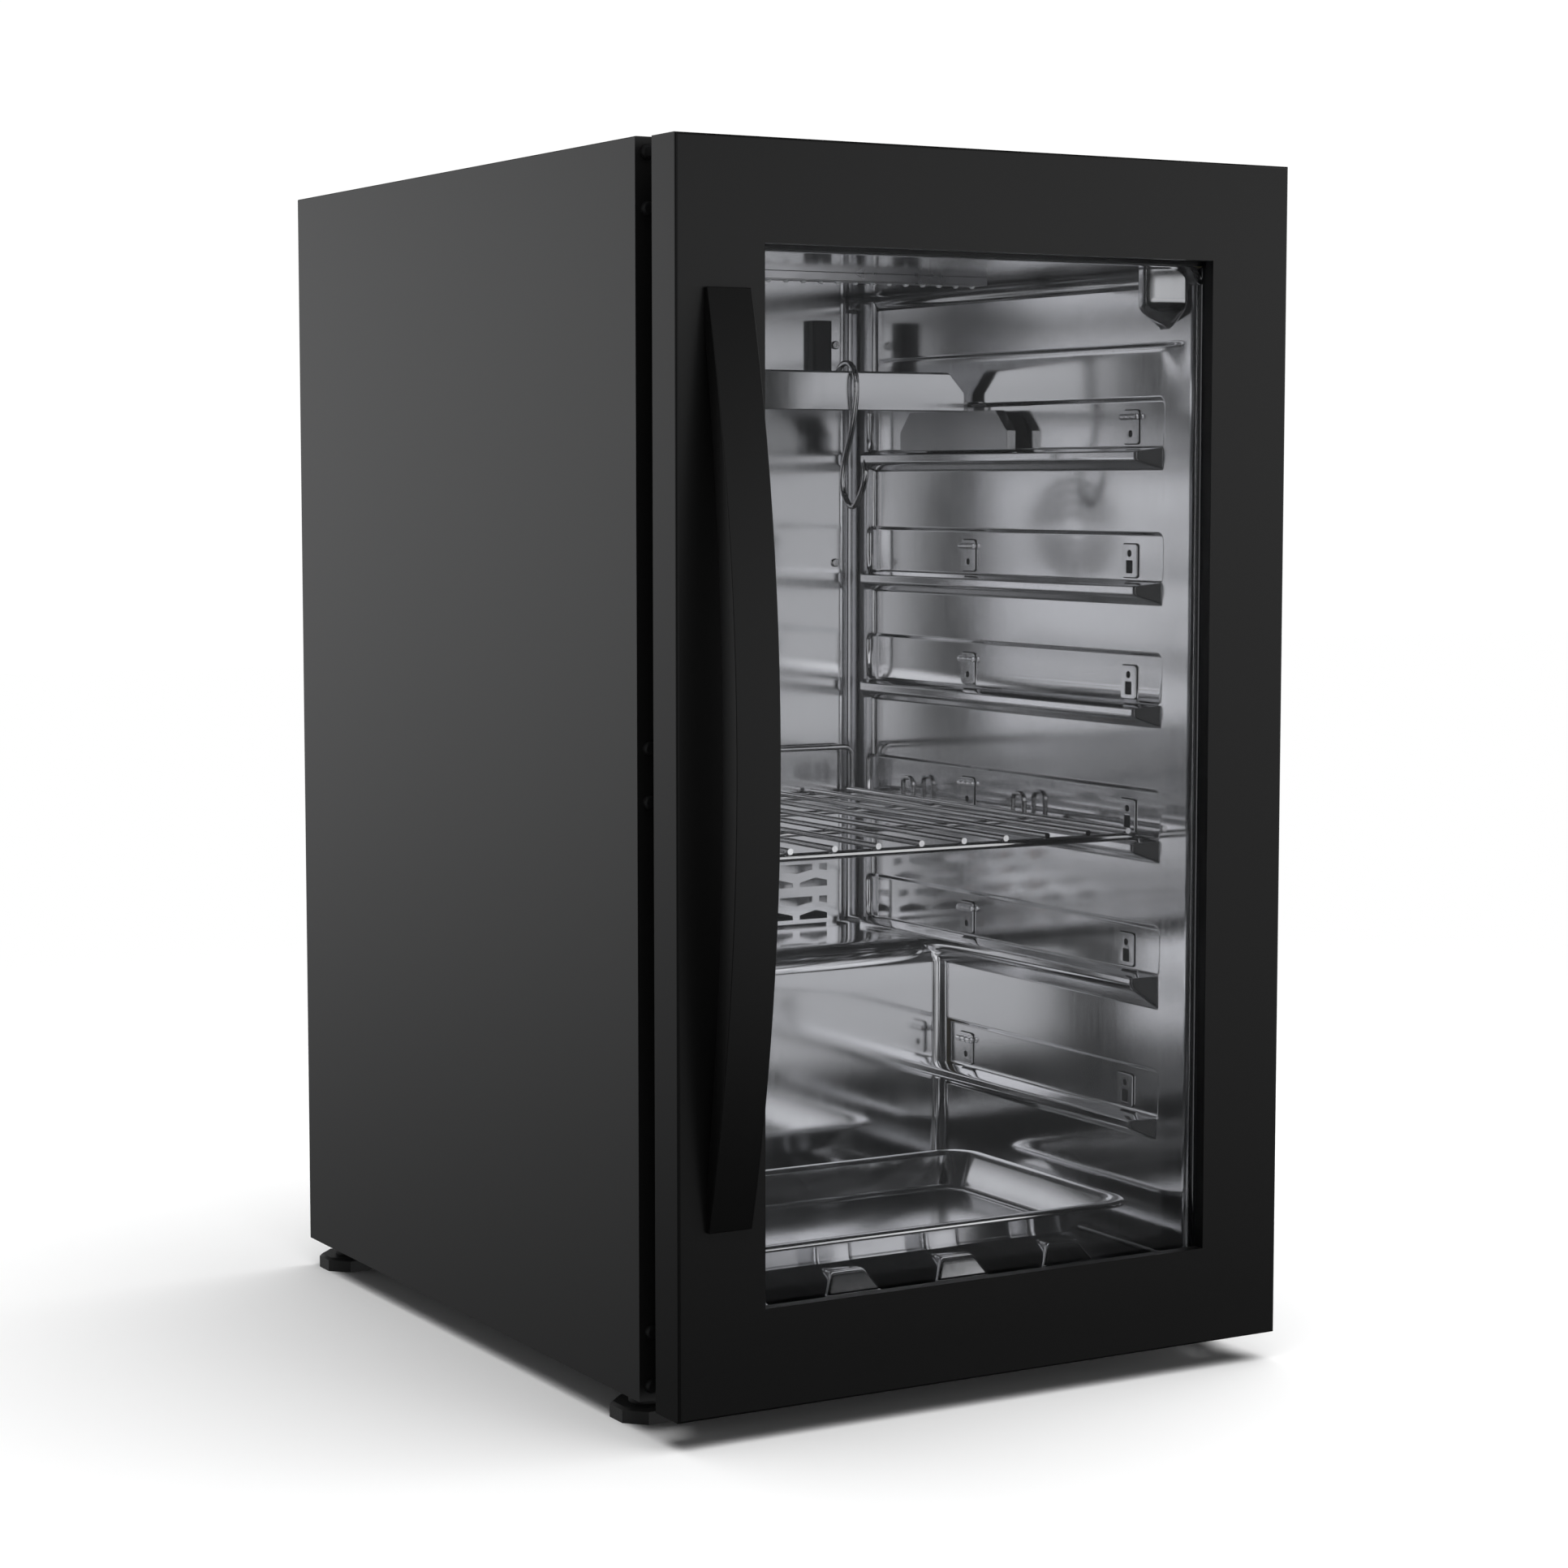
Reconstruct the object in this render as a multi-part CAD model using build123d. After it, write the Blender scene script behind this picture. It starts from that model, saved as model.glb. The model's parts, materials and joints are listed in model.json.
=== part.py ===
from build123d import *
import math
import os

# Glass-door refrigerated ageing cabinet, in millimetres.
# +Z is up, the door faces -Y, and the origin is on the floor under the middle of the whole footprint.

# ---- overall size ----
WIDTH = 495.0
DEPTH = 682.0
HANDLE_REACH = 42.0
DOOR_FRONT = -DEPTH / 2 + HANDLE_REACH
BACK = DEPTH / 2
HALF = WIDTH / 2

# ---- door ----
DOOR_THICK = 32.6
DOOR_BACK = DOOR_FRONT + DOOR_THICK
DOOR_BOTTOM = 20.0
DOOR_TOP = 864.0
DOOR_MID = (DOOR_BOTTOM + DOOR_TOP) / 2
DOOR_SKIN = 2.0
WINDOW_HALF = 181.5
WINDOW_BOTTOM = 89.7
WINDOW_TOP = 795.6
REVEAL = 8.8
PANE = 4.0
PANE_GAP = 12.0
PANE_HALF = 204.0
PANE_BOTTOM = 71.0
PANE_TOP = 812.0
SPACER_WIDTH = 7.0
GLASS_FRONT = DOOR_FRONT + REVEAL + 0.2
GLASS_BACK = GLASS_FRONT + 2 * PANE + PANE_GAP
BACK_FRAME_HALF = 199.5
BACK_FRAME_BOTTOM = 74.5
BACK_FRAME_TOP = 808.0
COLLAR_DEPTH = 10.4
COLLAR_HALF_IN = 209.0
COLLAR_HALF_OUT = 232.0
GASKET_HALF_IN = 218.0
GASKET_HALF_OUT = 231.0
GASKET_EDGE = 16.5
GASKET_SQUEEZE_GAP = 0.4

# ---- case ----
CASE_FRONT = -243.0
CASE_BOTTOM = 21.7
CASE_TOP = 865.8
SHEET = 1.0
FLANGE = 15.0
FRAME_DEPTH = 4.5
FOAM_FRONT = CASE_FRONT + FRAME_DEPTH
BASE_SHEET = 1.2
BASE_TOP = CASE_BOTTOM + BASE_SHEET
PANEL_BACK = BACK - 1.0

# ---- liner ----
WALL = 1.0
LINER_HALF = 217.5
LINER_FLOOR = 62.0
LINER_TOP = 796.0
LINER_BACK = 285.0
STEP_Y = 109.0
STEP_TOP = 265.0
STEP_RADIUS = 20.0
LEDGE_TOPS = (665.7, 565.6, 474.3, 373.0, 271.2, 163.2)
LEDGE_DROPS = (16.0, 16.0, 16.0, 16.0, 24.0, 16.0)
LEDGE_REACH = 14.0
LEDGE_FRONT = -193.0
LEDGE_SLOPE = 17.0
LEDGE_REAR = 229.0
RECESS_REAR = 210.0
RECESS_TOPS = (702.4, 602.4, 512.6, 410.6, 308.1, 199.8)
RECESS_HEIGHT = 37.0
RECESS_DEPTH = 3.0
BEAD_Y = (212.0, 235.5)
BEAD_EDGE = 2.0
BEAD_REACH = 2.8
HOOD_REACH = 25.0
HOOD_FRONT = -220.0
HOOD_REAR = -189.0
HOOD_CLIP = 14.0
HOOD_EDGE = 8.0
HOOD_BOTTOM = 753.0
RIB_CENTRES = (-140.25, -46.75, 46.75, 140.25)
RIB_BASE = 46.0
RIB_CREST = 28.0
RIB_TOP = 77.0
RIB_FRONT = -191.0
RIB_REAR = 96.0
RIB_END_SLOPE = 9.0

# ---- duct panel ----
DUCT_FRONT = 236.0
DUCT_SHEET = 1.2
DUCT_HALF = 212.6
DUCT_RETURN = 20.0
DUCT_EDGE_RADIUS = 18.0
DUCT_BOTTOM = 267.0
VENT_PITCH = 38.4
VENT_RIB = 6.8
VENT_FIELD_HALF = 184.0
VENT_PAIR_BASES = (270.5, 298.3)
VENT_PAIR_HEIGHT = 19.5
FAN_GRILLE_Z = 600.0
FAN_GRILLE_RINGS = (12.0, 21.0, 30.0, 39.0)
FAN_RING_WIDTH = 5.0
STRIP_INNER = 184.0
STRIP_LAND = 10.4
DUCT_SCREW_X = 191.2
DUCT_SCREW_Z = (755.3, 572.6, 345.0)
SENSOR_X = (165.1, 183.1)
SENSOR_Z = (717.0, 775.0)
SENSOR_DEPTH = 10.0
SENSOR_EDGE = 3.0

# ---- lamp bar ----
LAMP_Y = -38.0
LAMP_HALF = 157.5
LAMP_HALF_WIDTH = 9.0
LAMP_BOTTOM = 790.0
LENS_BOTTOM = 787.8

# ---- machine compartment under the step ----
ROOM_FRONT = 145.0
ROOM_TOP = 230.0
DRAIN_X = 110.0
SUCTION_X = 20.0
DUCT_PIPE_Y = 262.0
PASSAGE_RADIUS = 8.0
EVAPORATOR_FAN = (0.0, 256.0, FAN_GRILLE_Z)
CONDENSER_FAN = (-165.0, 243.0, 120.0)
COMPRESSOR_X = 110.0
COMPRESSOR_Y = 240.0
COMPRESSOR_RADIUS = 56.0
COMPRESSOR_PLATE = (36.0, 39.0)
COMPRESSOR_HEIGHT = (38.0, 158.0)
BOLT_DX = 64.0
BOLT_DY = 44.0
BOLT_RADIUS = 3.1

# ---- hinges ----
PIN_X = 233.5
PIN_Y = DOOR_FRONT + 16.3
PIN_RADIUS = 3.0
RUNNING_GAP = 0.05
HINGE_SHEET = 3.0
HINGE_POCKET = 5.0
ARM_HALF = 6.0
PIN_LENGTH = 23.0
CORNER_BLOCK_BOTTOM = 828.0
HOLE_PAIR_X = 238.5
HOLE_TOP = (856.0, 819.0)
HOLE_MIDDLE = (464.0, 428.0)
HOLE_BOTTOM = (69.0, 32.0)
HINGE_SCREW_Z = HOLE_TOP + HOLE_BOTTOM

# ---- handle ----
HANDLE_X = (-226.5, -193.5)
HANDLE_Z = (146.0, 766.0)
HANDLE_END = 3.5
HANDLE_FOOT = 30.0
HANDLE_GRIP = 23.0

# ---- feet ----
FOOT_ACROSS = 46.0
FOOT_HEIGHT = 11.0
FOOT_X = 222.5
FOOT_FRONT_Y = -204.0
FOOT_REAR_Y = 317.0
STUD_RADIUS = 5.0
STUD_TOP = 42.0
NUT_HEIGHT = 12.0

# ---- rack, hook, shelf and tray ----
BAR_Y = (62.0, 82.0)
BAR_BOTTOM = 697.0
BAR_TOP = 727.5
BAR_HALF = 207.9
BAR_SHEET = 1.5
BRACKET_X = (204.1, 212.7)
BRACKET_BOTTOM_Y = (-5.0, 153.0)
BRACKET_TOP_Y = (11.0, 138.0)
BRACKET_SHEET = 1.5
HOOK_X = 103.5
HOOK_WIRE = 2.4
HOOK_LOOP = 15.0
HOOK_LOOP_Z = 718.9
HOOK_POINT = 9.0
HOOK_TAIL = ((57.6, 704.0), (65.6, 676.0), (76.9, 644.2), (74.4, 630.4), (63.0, 621.4), (51.9, 628.0),
             (42.8, 649.2))
SHELF_LEVEL = 3
SHELF_WIRE = 3.0
SHELF_HALF = 210.5
SHELF_FRONT = -172.0
SHELF_REAR = 226.0
SHELF_CROSS_WIRE = 2.3
SHELF_PITCH = 36.5
SHELF_WIRE_COUNT = 12
SHELF_LOOP_Y = (-15.0, 149.0)
TRAY_HALF = 200.0
TRAY_Y = (-195.0, 46.0)
TRAY_RIM_Z = 104.0
TRAY_SHEET = 1.0
TRAY_SLOPE = 22.0


def block(x0, x1, y0, y1, z0, z1):
    """A box between two opposite corners."""
    return Pos((x0 + x1) / 2, (y0 + y1) / 2, (z0 + z1) / 2) * Box(x1 - x0, y1 - y0, z1 - z0)


def ring(half_out, z0_out, z1_out, half_in, z0_in, z1_in, y0, y1):
    """A rectangular frame in the X-Z plane, from y0 to y1."""
    outer = block(-half_out, half_out, y0, y1, z0_out, z1_out)
    return outer - block(-half_in, half_in, y0 - 1, y1 + 1, z0_in, z1_in)


def rod(start, end, radius):
    """A round bar between two points."""
    start, end = Vector(*start), Vector(*end)
    along = end - start
    return Plane(start, z_dir=along) * extrude(Circle(radius), along.length)


def pipe(points, radius, bend):
    """A round bar along a path with rounded corners."""
    path = FilletPolyline(*points, radius=bend)
    return sweep(Plane(path @ 0, z_dir=path % 0) * Circle(radius), path=path)


def group(solids):
    """Separate solids kept side by side in one node."""
    return Compound(children=list(solids))


def both_sides(shape):
    """The shape and its mirror image across the middle of the cabinet."""
    return [shape, mirror(shape, about=Plane.YZ)]


def profile_yz(points, x0, x1):
    """A prism along X from a closed outline of (y, z) points."""
    outline = make_face(Polyline(*[(x0, y, z) for y, z in points], close=True))
    return extrude(outline, amount=x1 - x0, dir=(1, 0, 0))


def profile_xz(points, y0, y1):
    """A prism along Y from a closed outline of (x, z) points."""
    outline = make_face(Polyline(*[(x, y0, z) for x, z in points], close=True))
    return extrude(outline, amount=y1 - y0, dir=(0, 1, 0))


def hull_solid(bottom, top):
    """A solid between two matching four-cornered outlines, with flat faces."""
    faces = [Face(Wire.make_polygon(bottom)), Face(Wire.make_polygon(top))]
    for i in range(4):
        j = (i + 1) % 4
        faces.append(Face(Wire.make_polygon([bottom[i], bottom[j], top[j], top[i]])))
    return Solid(Shell(faces))


# ---- case ----

def outer_case():
    """Folded steel wrap: both sides and the top, with a front flange that carries the hinge holes."""
    outer = block(-HALF, HALF, CASE_FRONT, BACK, CASE_BOTTOM, CASE_TOP)
    inner_half = HALF - SHEET
    inner = block(-inner_half, inner_half, CASE_FRONT + SHEET, BACK + 1, CASE_BOTTOM - 1, CASE_TOP - SHEET)
    mouth_half = HALF - FLANGE
    mouth = block(-mouth_half, mouth_half, CASE_FRONT - 1, CASE_FRONT + 2, CASE_BOTTOM - 1, CASE_TOP - FLANGE)
    case = outer - inner - mouth
    corner_edges = case.edges().filter_by(Axis.Y).group_by(Axis.Z)[-1]
    case = fillet([corner_edges.sort_by(Axis.X)[0], corner_edges.sort_by(Axis.X)[-1]], 0.9)
    for x in (-HOLE_PAIR_X, HOLE_PAIR_X):
        for z in HOLE_TOP + HOLE_MIDDLE + HOLE_BOTTOM:
            case -= rod((x, CASE_FRONT - 1, z), (x, CASE_FRONT + 2, z), 3.0)
    return case


def base_pan():
    """Bottom sheet with an upturned front lip, foot holes and air slots under the machine compartment."""
    pan = block(-HALF + SHEET, HALF - SHEET, CASE_FRONT + SHEET, PANEL_BACK - 1, CASE_BOTTOM, BASE_TOP)
    lip_half = HALF - FLANGE
    pan += block(-lip_half, lip_half, CASE_FRONT, CASE_FRONT + SHEET, CASE_BOTTOM, CASE_BOTTOM + FLANGE)
    pan += block(-lip_half, lip_half, CASE_FRONT, CASE_FRONT + 3, CASE_BOTTOM, BASE_TOP)
    for x in (-FOOT_X, FOOT_X):
        for y in (FOOT_FRONT_Y, FOOT_REAR_Y):
            pan -= rod((x, y, CASE_BOTTOM - 1), (x, y, BASE_TOP + 1), STUD_RADIUS + 0.5)
    for i in range(7):
        y = 185.0 + 16 * i
        pan -= block(-120, -20, y, y + 6, CASE_BOTTOM - 1, BASE_TOP + 1)
    return pan


def foot_nuts():
    """Threaded bushes for the four levelling feet, welded to the base pan."""
    nuts = []
    for x in (-FOOT_X, FOOT_X):
        for y in (FOOT_FRONT_Y, FOOT_REAR_Y):
            nut = Pos(x, y, BASE_TOP) * extrude(RegularPolygon(10, 6), NUT_HEIGHT)
            nuts.append(nut - rod((x, y, 0), (x, y, 60), STUD_RADIUS + RUNNING_GAP))
    return group(nuts)


def front_frame():
    """Black frame round the cabinet's mouth that the door gasket closes on."""
    edge = HALF - FLANGE
    return ring(edge, CASE_BOTTOM + FLANGE, CASE_TOP - FLANGE, LINER_HALF, LINER_FLOOR, LINER_TOP,
                CASE_FRONT, FOAM_FRONT)


def back_panel():
    """Flat steel back above the machine compartment."""
    return block(-HALF + SHEET, HALF - SHEET, PANEL_BACK - 1, PANEL_BACK, ROOM_TOP, CASE_TOP - SHEET)


def compressor_cover():
    """Slotted rear cover of the machine compartment, with an opening for the power inlet."""
    cover = block(-HALF + SHEET, HALF - SHEET, PANEL_BACK - 1, PANEL_BACK, CASE_BOTTOM, ROOM_TOP)
    for column in (-190, -115, -40, 35, 110):
        for i in range(14):
            z = 52.0 + 11 * i
            cover -= block(column - 28, column + 28, PANEL_BACK - 2, PANEL_BACK + 1, z, z + 4.5)
    return cover - block(188, 216, PANEL_BACK - 2, PANEL_BACK + 1, 48, 70)


def rear_screws():
    """Pan-head screws of the back panel and the compressor cover."""
    screws = []
    places = [(x, z) for x in (-236.0, 236.0) for z in (250.0, 450.0, 650.0, 850.0)]
    places += [(x, z) for x in (-236.0, 0.0, 236.0) for z in (34.0, 218.0)]
    for x, z in places:
        screws.append(rod((x, PANEL_BACK, z), (x, BACK, z), 4.0))
    return group(screws)


def room_wall():
    """Folded sheet that closes the insulation off from the machine compartment."""
    wall = block(-HALF + SHEET, HALF - SHEET, ROOM_FRONT, ROOM_FRONT + SHEET, BASE_TOP, ROOM_TOP)
    wall += block(-HALF + SHEET, HALF - SHEET, ROOM_FRONT, PANEL_BACK - 1, ROOM_TOP - SHEET, ROOM_TOP)
    for x in (DRAIN_X, SUCTION_X):
        wall -= rod((x, DUCT_PIPE_Y, ROOM_TOP - 3), (x, DUCT_PIPE_Y, ROOM_TOP + 3), PASSAGE_RADIUS)
    return wall


def foam_insulation():
    """Foamed-in-place insulation between the case and the liner."""
    foam = block(-HALF + SHEET, HALF - SHEET, FOAM_FRONT, PANEL_BACK - 1, BASE_TOP, CASE_TOP - SHEET)
    half = LINER_HALF + WALL
    foam -= liner_space(WALL, STEP_RADIUS - WALL, half)
    foam -= block(-HALF, HALF, ROOM_FRONT, BACK, CASE_BOTTOM, ROOM_TOP)
    for top in RECESS_TOPS:
        rear = STEP_Y if top < STEP_TOP else RECESS_REAR
        deep = half + RECESS_DEPTH
        foam -= block(-deep, deep, LEDGE_FRONT - 1, rear + 1, top - RECESS_HEIGHT - 1, top + 1)
    for x in (-FOOT_X, FOOT_X):
        foam -= rod((x, FOOT_FRONT_Y, BASE_TOP - 1), (x, FOOT_FRONT_Y, STUD_TOP + 2), 12.0)
    for x in (SUCTION_X, DRAIN_X):
        foam -= rod((x, DUCT_PIPE_Y, ROOM_TOP - 3), (x, DUCT_PIPE_Y, STEP_TOP + 3), PASSAGE_RADIUS)
    return foam


def hole_plugs():
    """Domed caps over the hinge holes that are not in use."""
    plugs = []
    places = [(-HOLE_PAIR_X, z) for z in HOLE_TOP + HOLE_MIDDLE + HOLE_BOTTOM]
    places += [(HOLE_PAIR_X, z) for z in HOLE_MIDDLE]
    for x, z in places:
        cap = rod((x, CASE_FRONT - 3.0, z), (x, CASE_FRONT, z), 5.0)
        cap = fillet(cap.edges().sort_by(Axis.Y)[0], 2.4)
        plugs.append(cap + rod((x, CASE_FRONT, z), (x, CASE_FRONT + 3.0, z), 3.0))
    return group(plugs)


# ---- liner ----

def ledge(top, drop, rear, skin):
    """One pressed shelf ledge on the right wall; a skin above zero gives the hollow behind it."""
    wall_x = LINER_HALF + skin
    nose_x = LINER_HALF - LEDGE_REACH + skin
    outline = [(wall_x, top - skin), (nose_x + 1.5, top - skin), (nose_x, top - 2.5 - skin),
               (nose_x, top - 9.5 + skin / 2), (wall_x, top - drop + skin)]
    shape = profile_xz(outline, LEDGE_FRONT + skin, rear - skin)
    slope = Plane((wall_x, LEDGE_FRONT + skin, top), z_dir=(-LEDGE_SLOPE, -LEDGE_REACH, 0))
    return shape - slope * Pos(0, 0, 50) * Box(400, 400, 100)


def recess(top, rear, skin):
    """One shallow pressed panel above a ledge, bulging outwards into the insulation."""
    shape = block(LINER_HALF - 0.5, LINER_HALF + RECESS_DEPTH + skin, LEDGE_FRONT - skin / 2, rear + skin / 2,
                  top - RECESS_HEIGHT - skin / 2, top + skin / 2)
    return fillet(shape.edges().filter_by(Axis.X), 5.0)


def liner_side():
    """Pressed right wall of the liner with ledges, recesses, a raised rear strip and the corner hood."""
    x0, x1 = LINER_HALF, LINER_HALF + WALL
    wall = block(x0, x1, FOAM_FRONT, LINER_BACK + WALL, LINER_FLOOR - WALL, LINER_TOP + WALL)
    wall -= block(x0 - 1, x1 + 1, STEP_Y + WALL, LINER_BACK + 5, 0, STEP_TOP - WALL)
    for top, drop, recess_top in zip(LEDGE_TOPS, LEDGE_DROPS, RECESS_TOPS):
        low = recess_top < STEP_TOP
        step_end = STEP_Y - 0.2
        ledge_rear = step_end if low else LEDGE_REAR
        recess_rear = step_end - 0.6 if low else RECESS_REAR
        outwards = block(x0, x1 + RECESS_DEPTH, -DEPTH, DEPTH, 0, DOOR_TOP)
        wall += recess(recess_top, recess_rear, WALL / 2) & outwards
        wall -= recess(recess_top, recess_rear - (1.4 if low else 2.0), -WALL / 2)
        wall += ledge(top, drop, ledge_rear, 0.0)
        wall -= ledge(top, drop, ledge_rear, WALL) & block(0, x1, -DEPTH, DEPTH, 0, DOOR_TOP)
    wall -= block(0, x0, STEP_Y, LINER_BACK, 0, STEP_TOP)
    bead = block(x0 - BEAD_REACH, x0 + 0.1, *BEAD_Y, STEP_TOP, LINER_TOP)
    wall += fillet(bead.edges().filter_by(Axis.Z).group_by(Axis.X)[0], BEAD_EDGE)
    hood = block(x0 - HOOD_REACH, x0 + 0.1, HOOD_FRONT, HOOD_REAR, HOOD_BOTTOM, LINER_TOP)
    hood = chamfer(hood.edges().filter_by(Axis.Y).group_by(Axis.Z)[0].sort_by(Axis.X)[0], HOOD_CLIP)
    hood = fillet(hood.edges().filter_by(Axis.Z).sort_by(Axis.X)[0:2], HOOD_EDGE)
    return wall + hood


def liner_space(grow, radius, half):
    """The stepped space inside the liner, grown outwards by a sheet thickness."""
    y0, y1 = FOAM_FRONT, LINER_BACK + grow
    low, step, high = LINER_FLOOR - grow, STEP_TOP - grow, LINER_TOP + grow
    step_y = STEP_Y + grow
    outline = [(y0, low), (step_y, low), (step_y, step), (y1, step), (y1, high), (y0, high)]
    solid = profile_yz(outline, -half, half)
    corner = solid.edges().filter_by(Axis.X).sort_by(
        lambda edge: abs(edge.center().Y - step_y) + abs(edge.center().Z - step))[0]
    return fillet(corner, radius)


def liner_wrap():
    """Folded ceiling, back, step and floor of the liner, with the floor ribs."""
    wrap = liner_space(WALL, STEP_RADIUS - WALL, LINER_HALF) - liner_space(0.0, STEP_RADIUS, LINER_HALF)
    for x in RIB_CENTRES:
        wrap += floor_rib(x, 0.0)
        wrap -= floor_rib(x, WALL)
    for x in (SUCTION_X, DRAIN_X):
        wrap -= rod((x, DUCT_PIPE_Y, STEP_TOP - 3), (x, DUCT_PIPE_Y, STEP_TOP + 3), PASSAGE_RADIUS - 2.0)
    return wrap


def floor_rib(x, skin):
    """One raised rib of the floor with sloped ends; a skin above zero gives its hollow underside."""
    def outline(half, front, rear, z):
        return [(x - half, front, z), (x + half, front, z), (x + half, rear, z), (x - half, rear, z)]

    base = outline(RIB_BASE / 2 - skin, RIB_FRONT + skin, RIB_REAR - skin, LINER_FLOOR - skin)
    crest = outline(RIB_CREST / 2 - skin, RIB_FRONT + RIB_END_SLOPE + skin, RIB_REAR - RIB_END_SLOPE - skin,
                    RIB_TOP - skin)
    return hull_solid(base, crest)


def duct_strips():
    """Folded strips that hold the duct panel and form the sides of the air duct."""
    z0, z1 = STEP_TOP, LINER_TOP
    face = DUCT_FRONT + DUCT_SHEET
    groove = DUCT_FRONT + DUCT_RETURN
    web = STRIP_INNER + STRIP_LAND
    strip = block(web - DUCT_SHEET, LINER_HALF, groove, groove + DUCT_SHEET, z0, z1)
    strip += block(web - DUCT_SHEET, web, face, groove + DUCT_SHEET, z0, z1)
    strip += block(STRIP_INNER, web, face, face + DUCT_SHEET, z0, z1)
    strip += block(STRIP_INNER, STRIP_INNER + DUCT_SHEET, face, LINER_BACK, z0, z1)
    for z in DUCT_SCREW_Z:
        strip -= rod((DUCT_SCREW_X, face - 1, z), (DUCT_SCREW_X, face + 3, z), 1.8)
    return group(both_sides(strip))


def vent_cells():
    """Openings of the lower grille: rows of five-sided cells over a zigzag web."""
    cells = []
    half = (VENT_PITCH - VENT_RIB) / 2
    for base in VENT_PAIR_BASES:
        top = base + VENT_PAIR_HEIGHT
        for k in range(-5, 6):
            x = k * VENT_PITCH
            upper = [(x - half, top), (x + half, top), (x + half, top - 4.9), (x, top - 8.0),
                     (x - half, top - 4.9)]
            x += VENT_PITCH / 2
            lower = [(x - half, base), (x + half, base), (x + half, base + 3.7), (x, base + 7.6),
                     (x - half, base + 3.7)]
            for outline in (upper, lower):
                if abs(outline[3][0]) < VENT_FIELD_HALF + half - 4:
                    cells.append(profile_xz(outline, DUCT_FRONT - 1, DUCT_FRONT + 3))
    return cells


def duct_panel():
    """Front panel of the air duct, with returned edges, the lower grille and the fan grille."""
    panel = block(-DUCT_HALF, DUCT_HALF, DUCT_FRONT, DUCT_FRONT + DUCT_RETURN, DUCT_BOTTOM, LINER_TOP)
    panel = fillet(panel.edges().filter_by(Axis.Z).group_by(Axis.Y)[0], DUCT_EDGE_RADIUS)
    inner_half = DUCT_HALF - DUCT_SHEET
    hollow = block(-inner_half, inner_half, DUCT_FRONT + DUCT_SHEET, DUCT_FRONT + DUCT_RETURN + 1, 0, DOOR_TOP)
    panel -= fillet(hollow.edges().filter_by(Axis.Z).group_by(Axis.Y)[0], DUCT_EDGE_RADIUS - DUCT_SHEET)
    field = block(-VENT_FIELD_HALF, VENT_FIELD_HALF, DUCT_FRONT - 2, DUCT_FRONT + 4, 200, 400)
    for cell in vent_cells():
        panel -= cell & field
    for radius in FAN_GRILLE_RINGS:
        outer_radius = radius + FAN_RING_WIDTH
        hoop = rod((0, DUCT_FRONT - 1, FAN_GRILLE_Z), (0, DUCT_FRONT + 3, FAN_GRILLE_Z), outer_radius)
        hoop -= rod((0, DUCT_FRONT - 2, FAN_GRILLE_Z), (0, DUCT_FRONT + 4, FAN_GRILLE_Z), radius)
        hoop -= block(-60, 60, DUCT_FRONT - 2, DUCT_FRONT + 4, FAN_GRILLE_Z - 2, FAN_GRILLE_Z + 2)
        hoop -= block(-2, 2, DUCT_FRONT - 2, DUCT_FRONT + 4, FAN_GRILLE_Z - 60, FAN_GRILLE_Z + 60)
        panel -= hoop
    for x in (-DUCT_SCREW_X, DUCT_SCREW_X):
        for z in DUCT_SCREW_Z:
            panel -= rod((x, DUCT_FRONT - 1, z), (x, DUCT_FRONT + 3, z), 1.8)
    return panel


def duct_screws():
    """Pan-head screws of the duct panel."""
    screws = []
    for x in (-DUCT_SCREW_X, DUCT_SCREW_X):
        for z in DUCT_SCREW_Z:
            head = rod((x, DUCT_FRONT - 2.0, z), (x, DUCT_FRONT, z), 3.6)
            head = fillet(head.edges().sort_by(Axis.Y)[0], 1.2)
            head -= block(x - 2, x + 2, DUCT_FRONT - 3, DUCT_FRONT - 1.2, z - 0.5, z + 0.5)
            head -= block(x - 0.5, x + 0.5, DUCT_FRONT - 3, DUCT_FRONT - 1.2, z - 2, z + 2)
            screws.append(head + rod((x, DUCT_FRONT, z), (x, DUCT_FRONT + 7, z), 1.8))
    return group(screws)


def sensor_box():
    """Black probe cover near the top right of the duct panel."""
    box = block(*SENSOR_X, DUCT_FRONT - SENSOR_DEPTH, DUCT_FRONT, *SENSOR_Z)
    return fillet(box.edges().filter_by(Axis.Z).group_by(Axis.Y)[0], SENSOR_EDGE)


def led_housing():
    """Channel of the lamp bar under the ceiling."""
    half, wide = LAMP_HALF, LAMP_HALF_WIDTH
    body = block(-half, half, LAMP_Y - wide, LAMP_Y + wide, LAMP_BOTTOM, LINER_TOP)
    half, wide = half - 2.0, wide - 2.0
    return body - block(-half, half, LAMP_Y - wide, LAMP_Y + wide, LAMP_BOTTOM - 1, LINER_TOP - 1.5)


def led_lens():
    """Diffuser snapped into the lamp bar."""
    half, wide = LAMP_HALF - 2.0, LAMP_HALF_WIDTH - 2.0
    lens = block(-half, half, LAMP_Y - wide, LAMP_Y + wide, LENS_BOTTOM, LAMP_BOTTOM + 2)
    return fillet(lens.edges().filter_by(Axis.X).group_by(Axis.Z)[0], 1.6)


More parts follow.
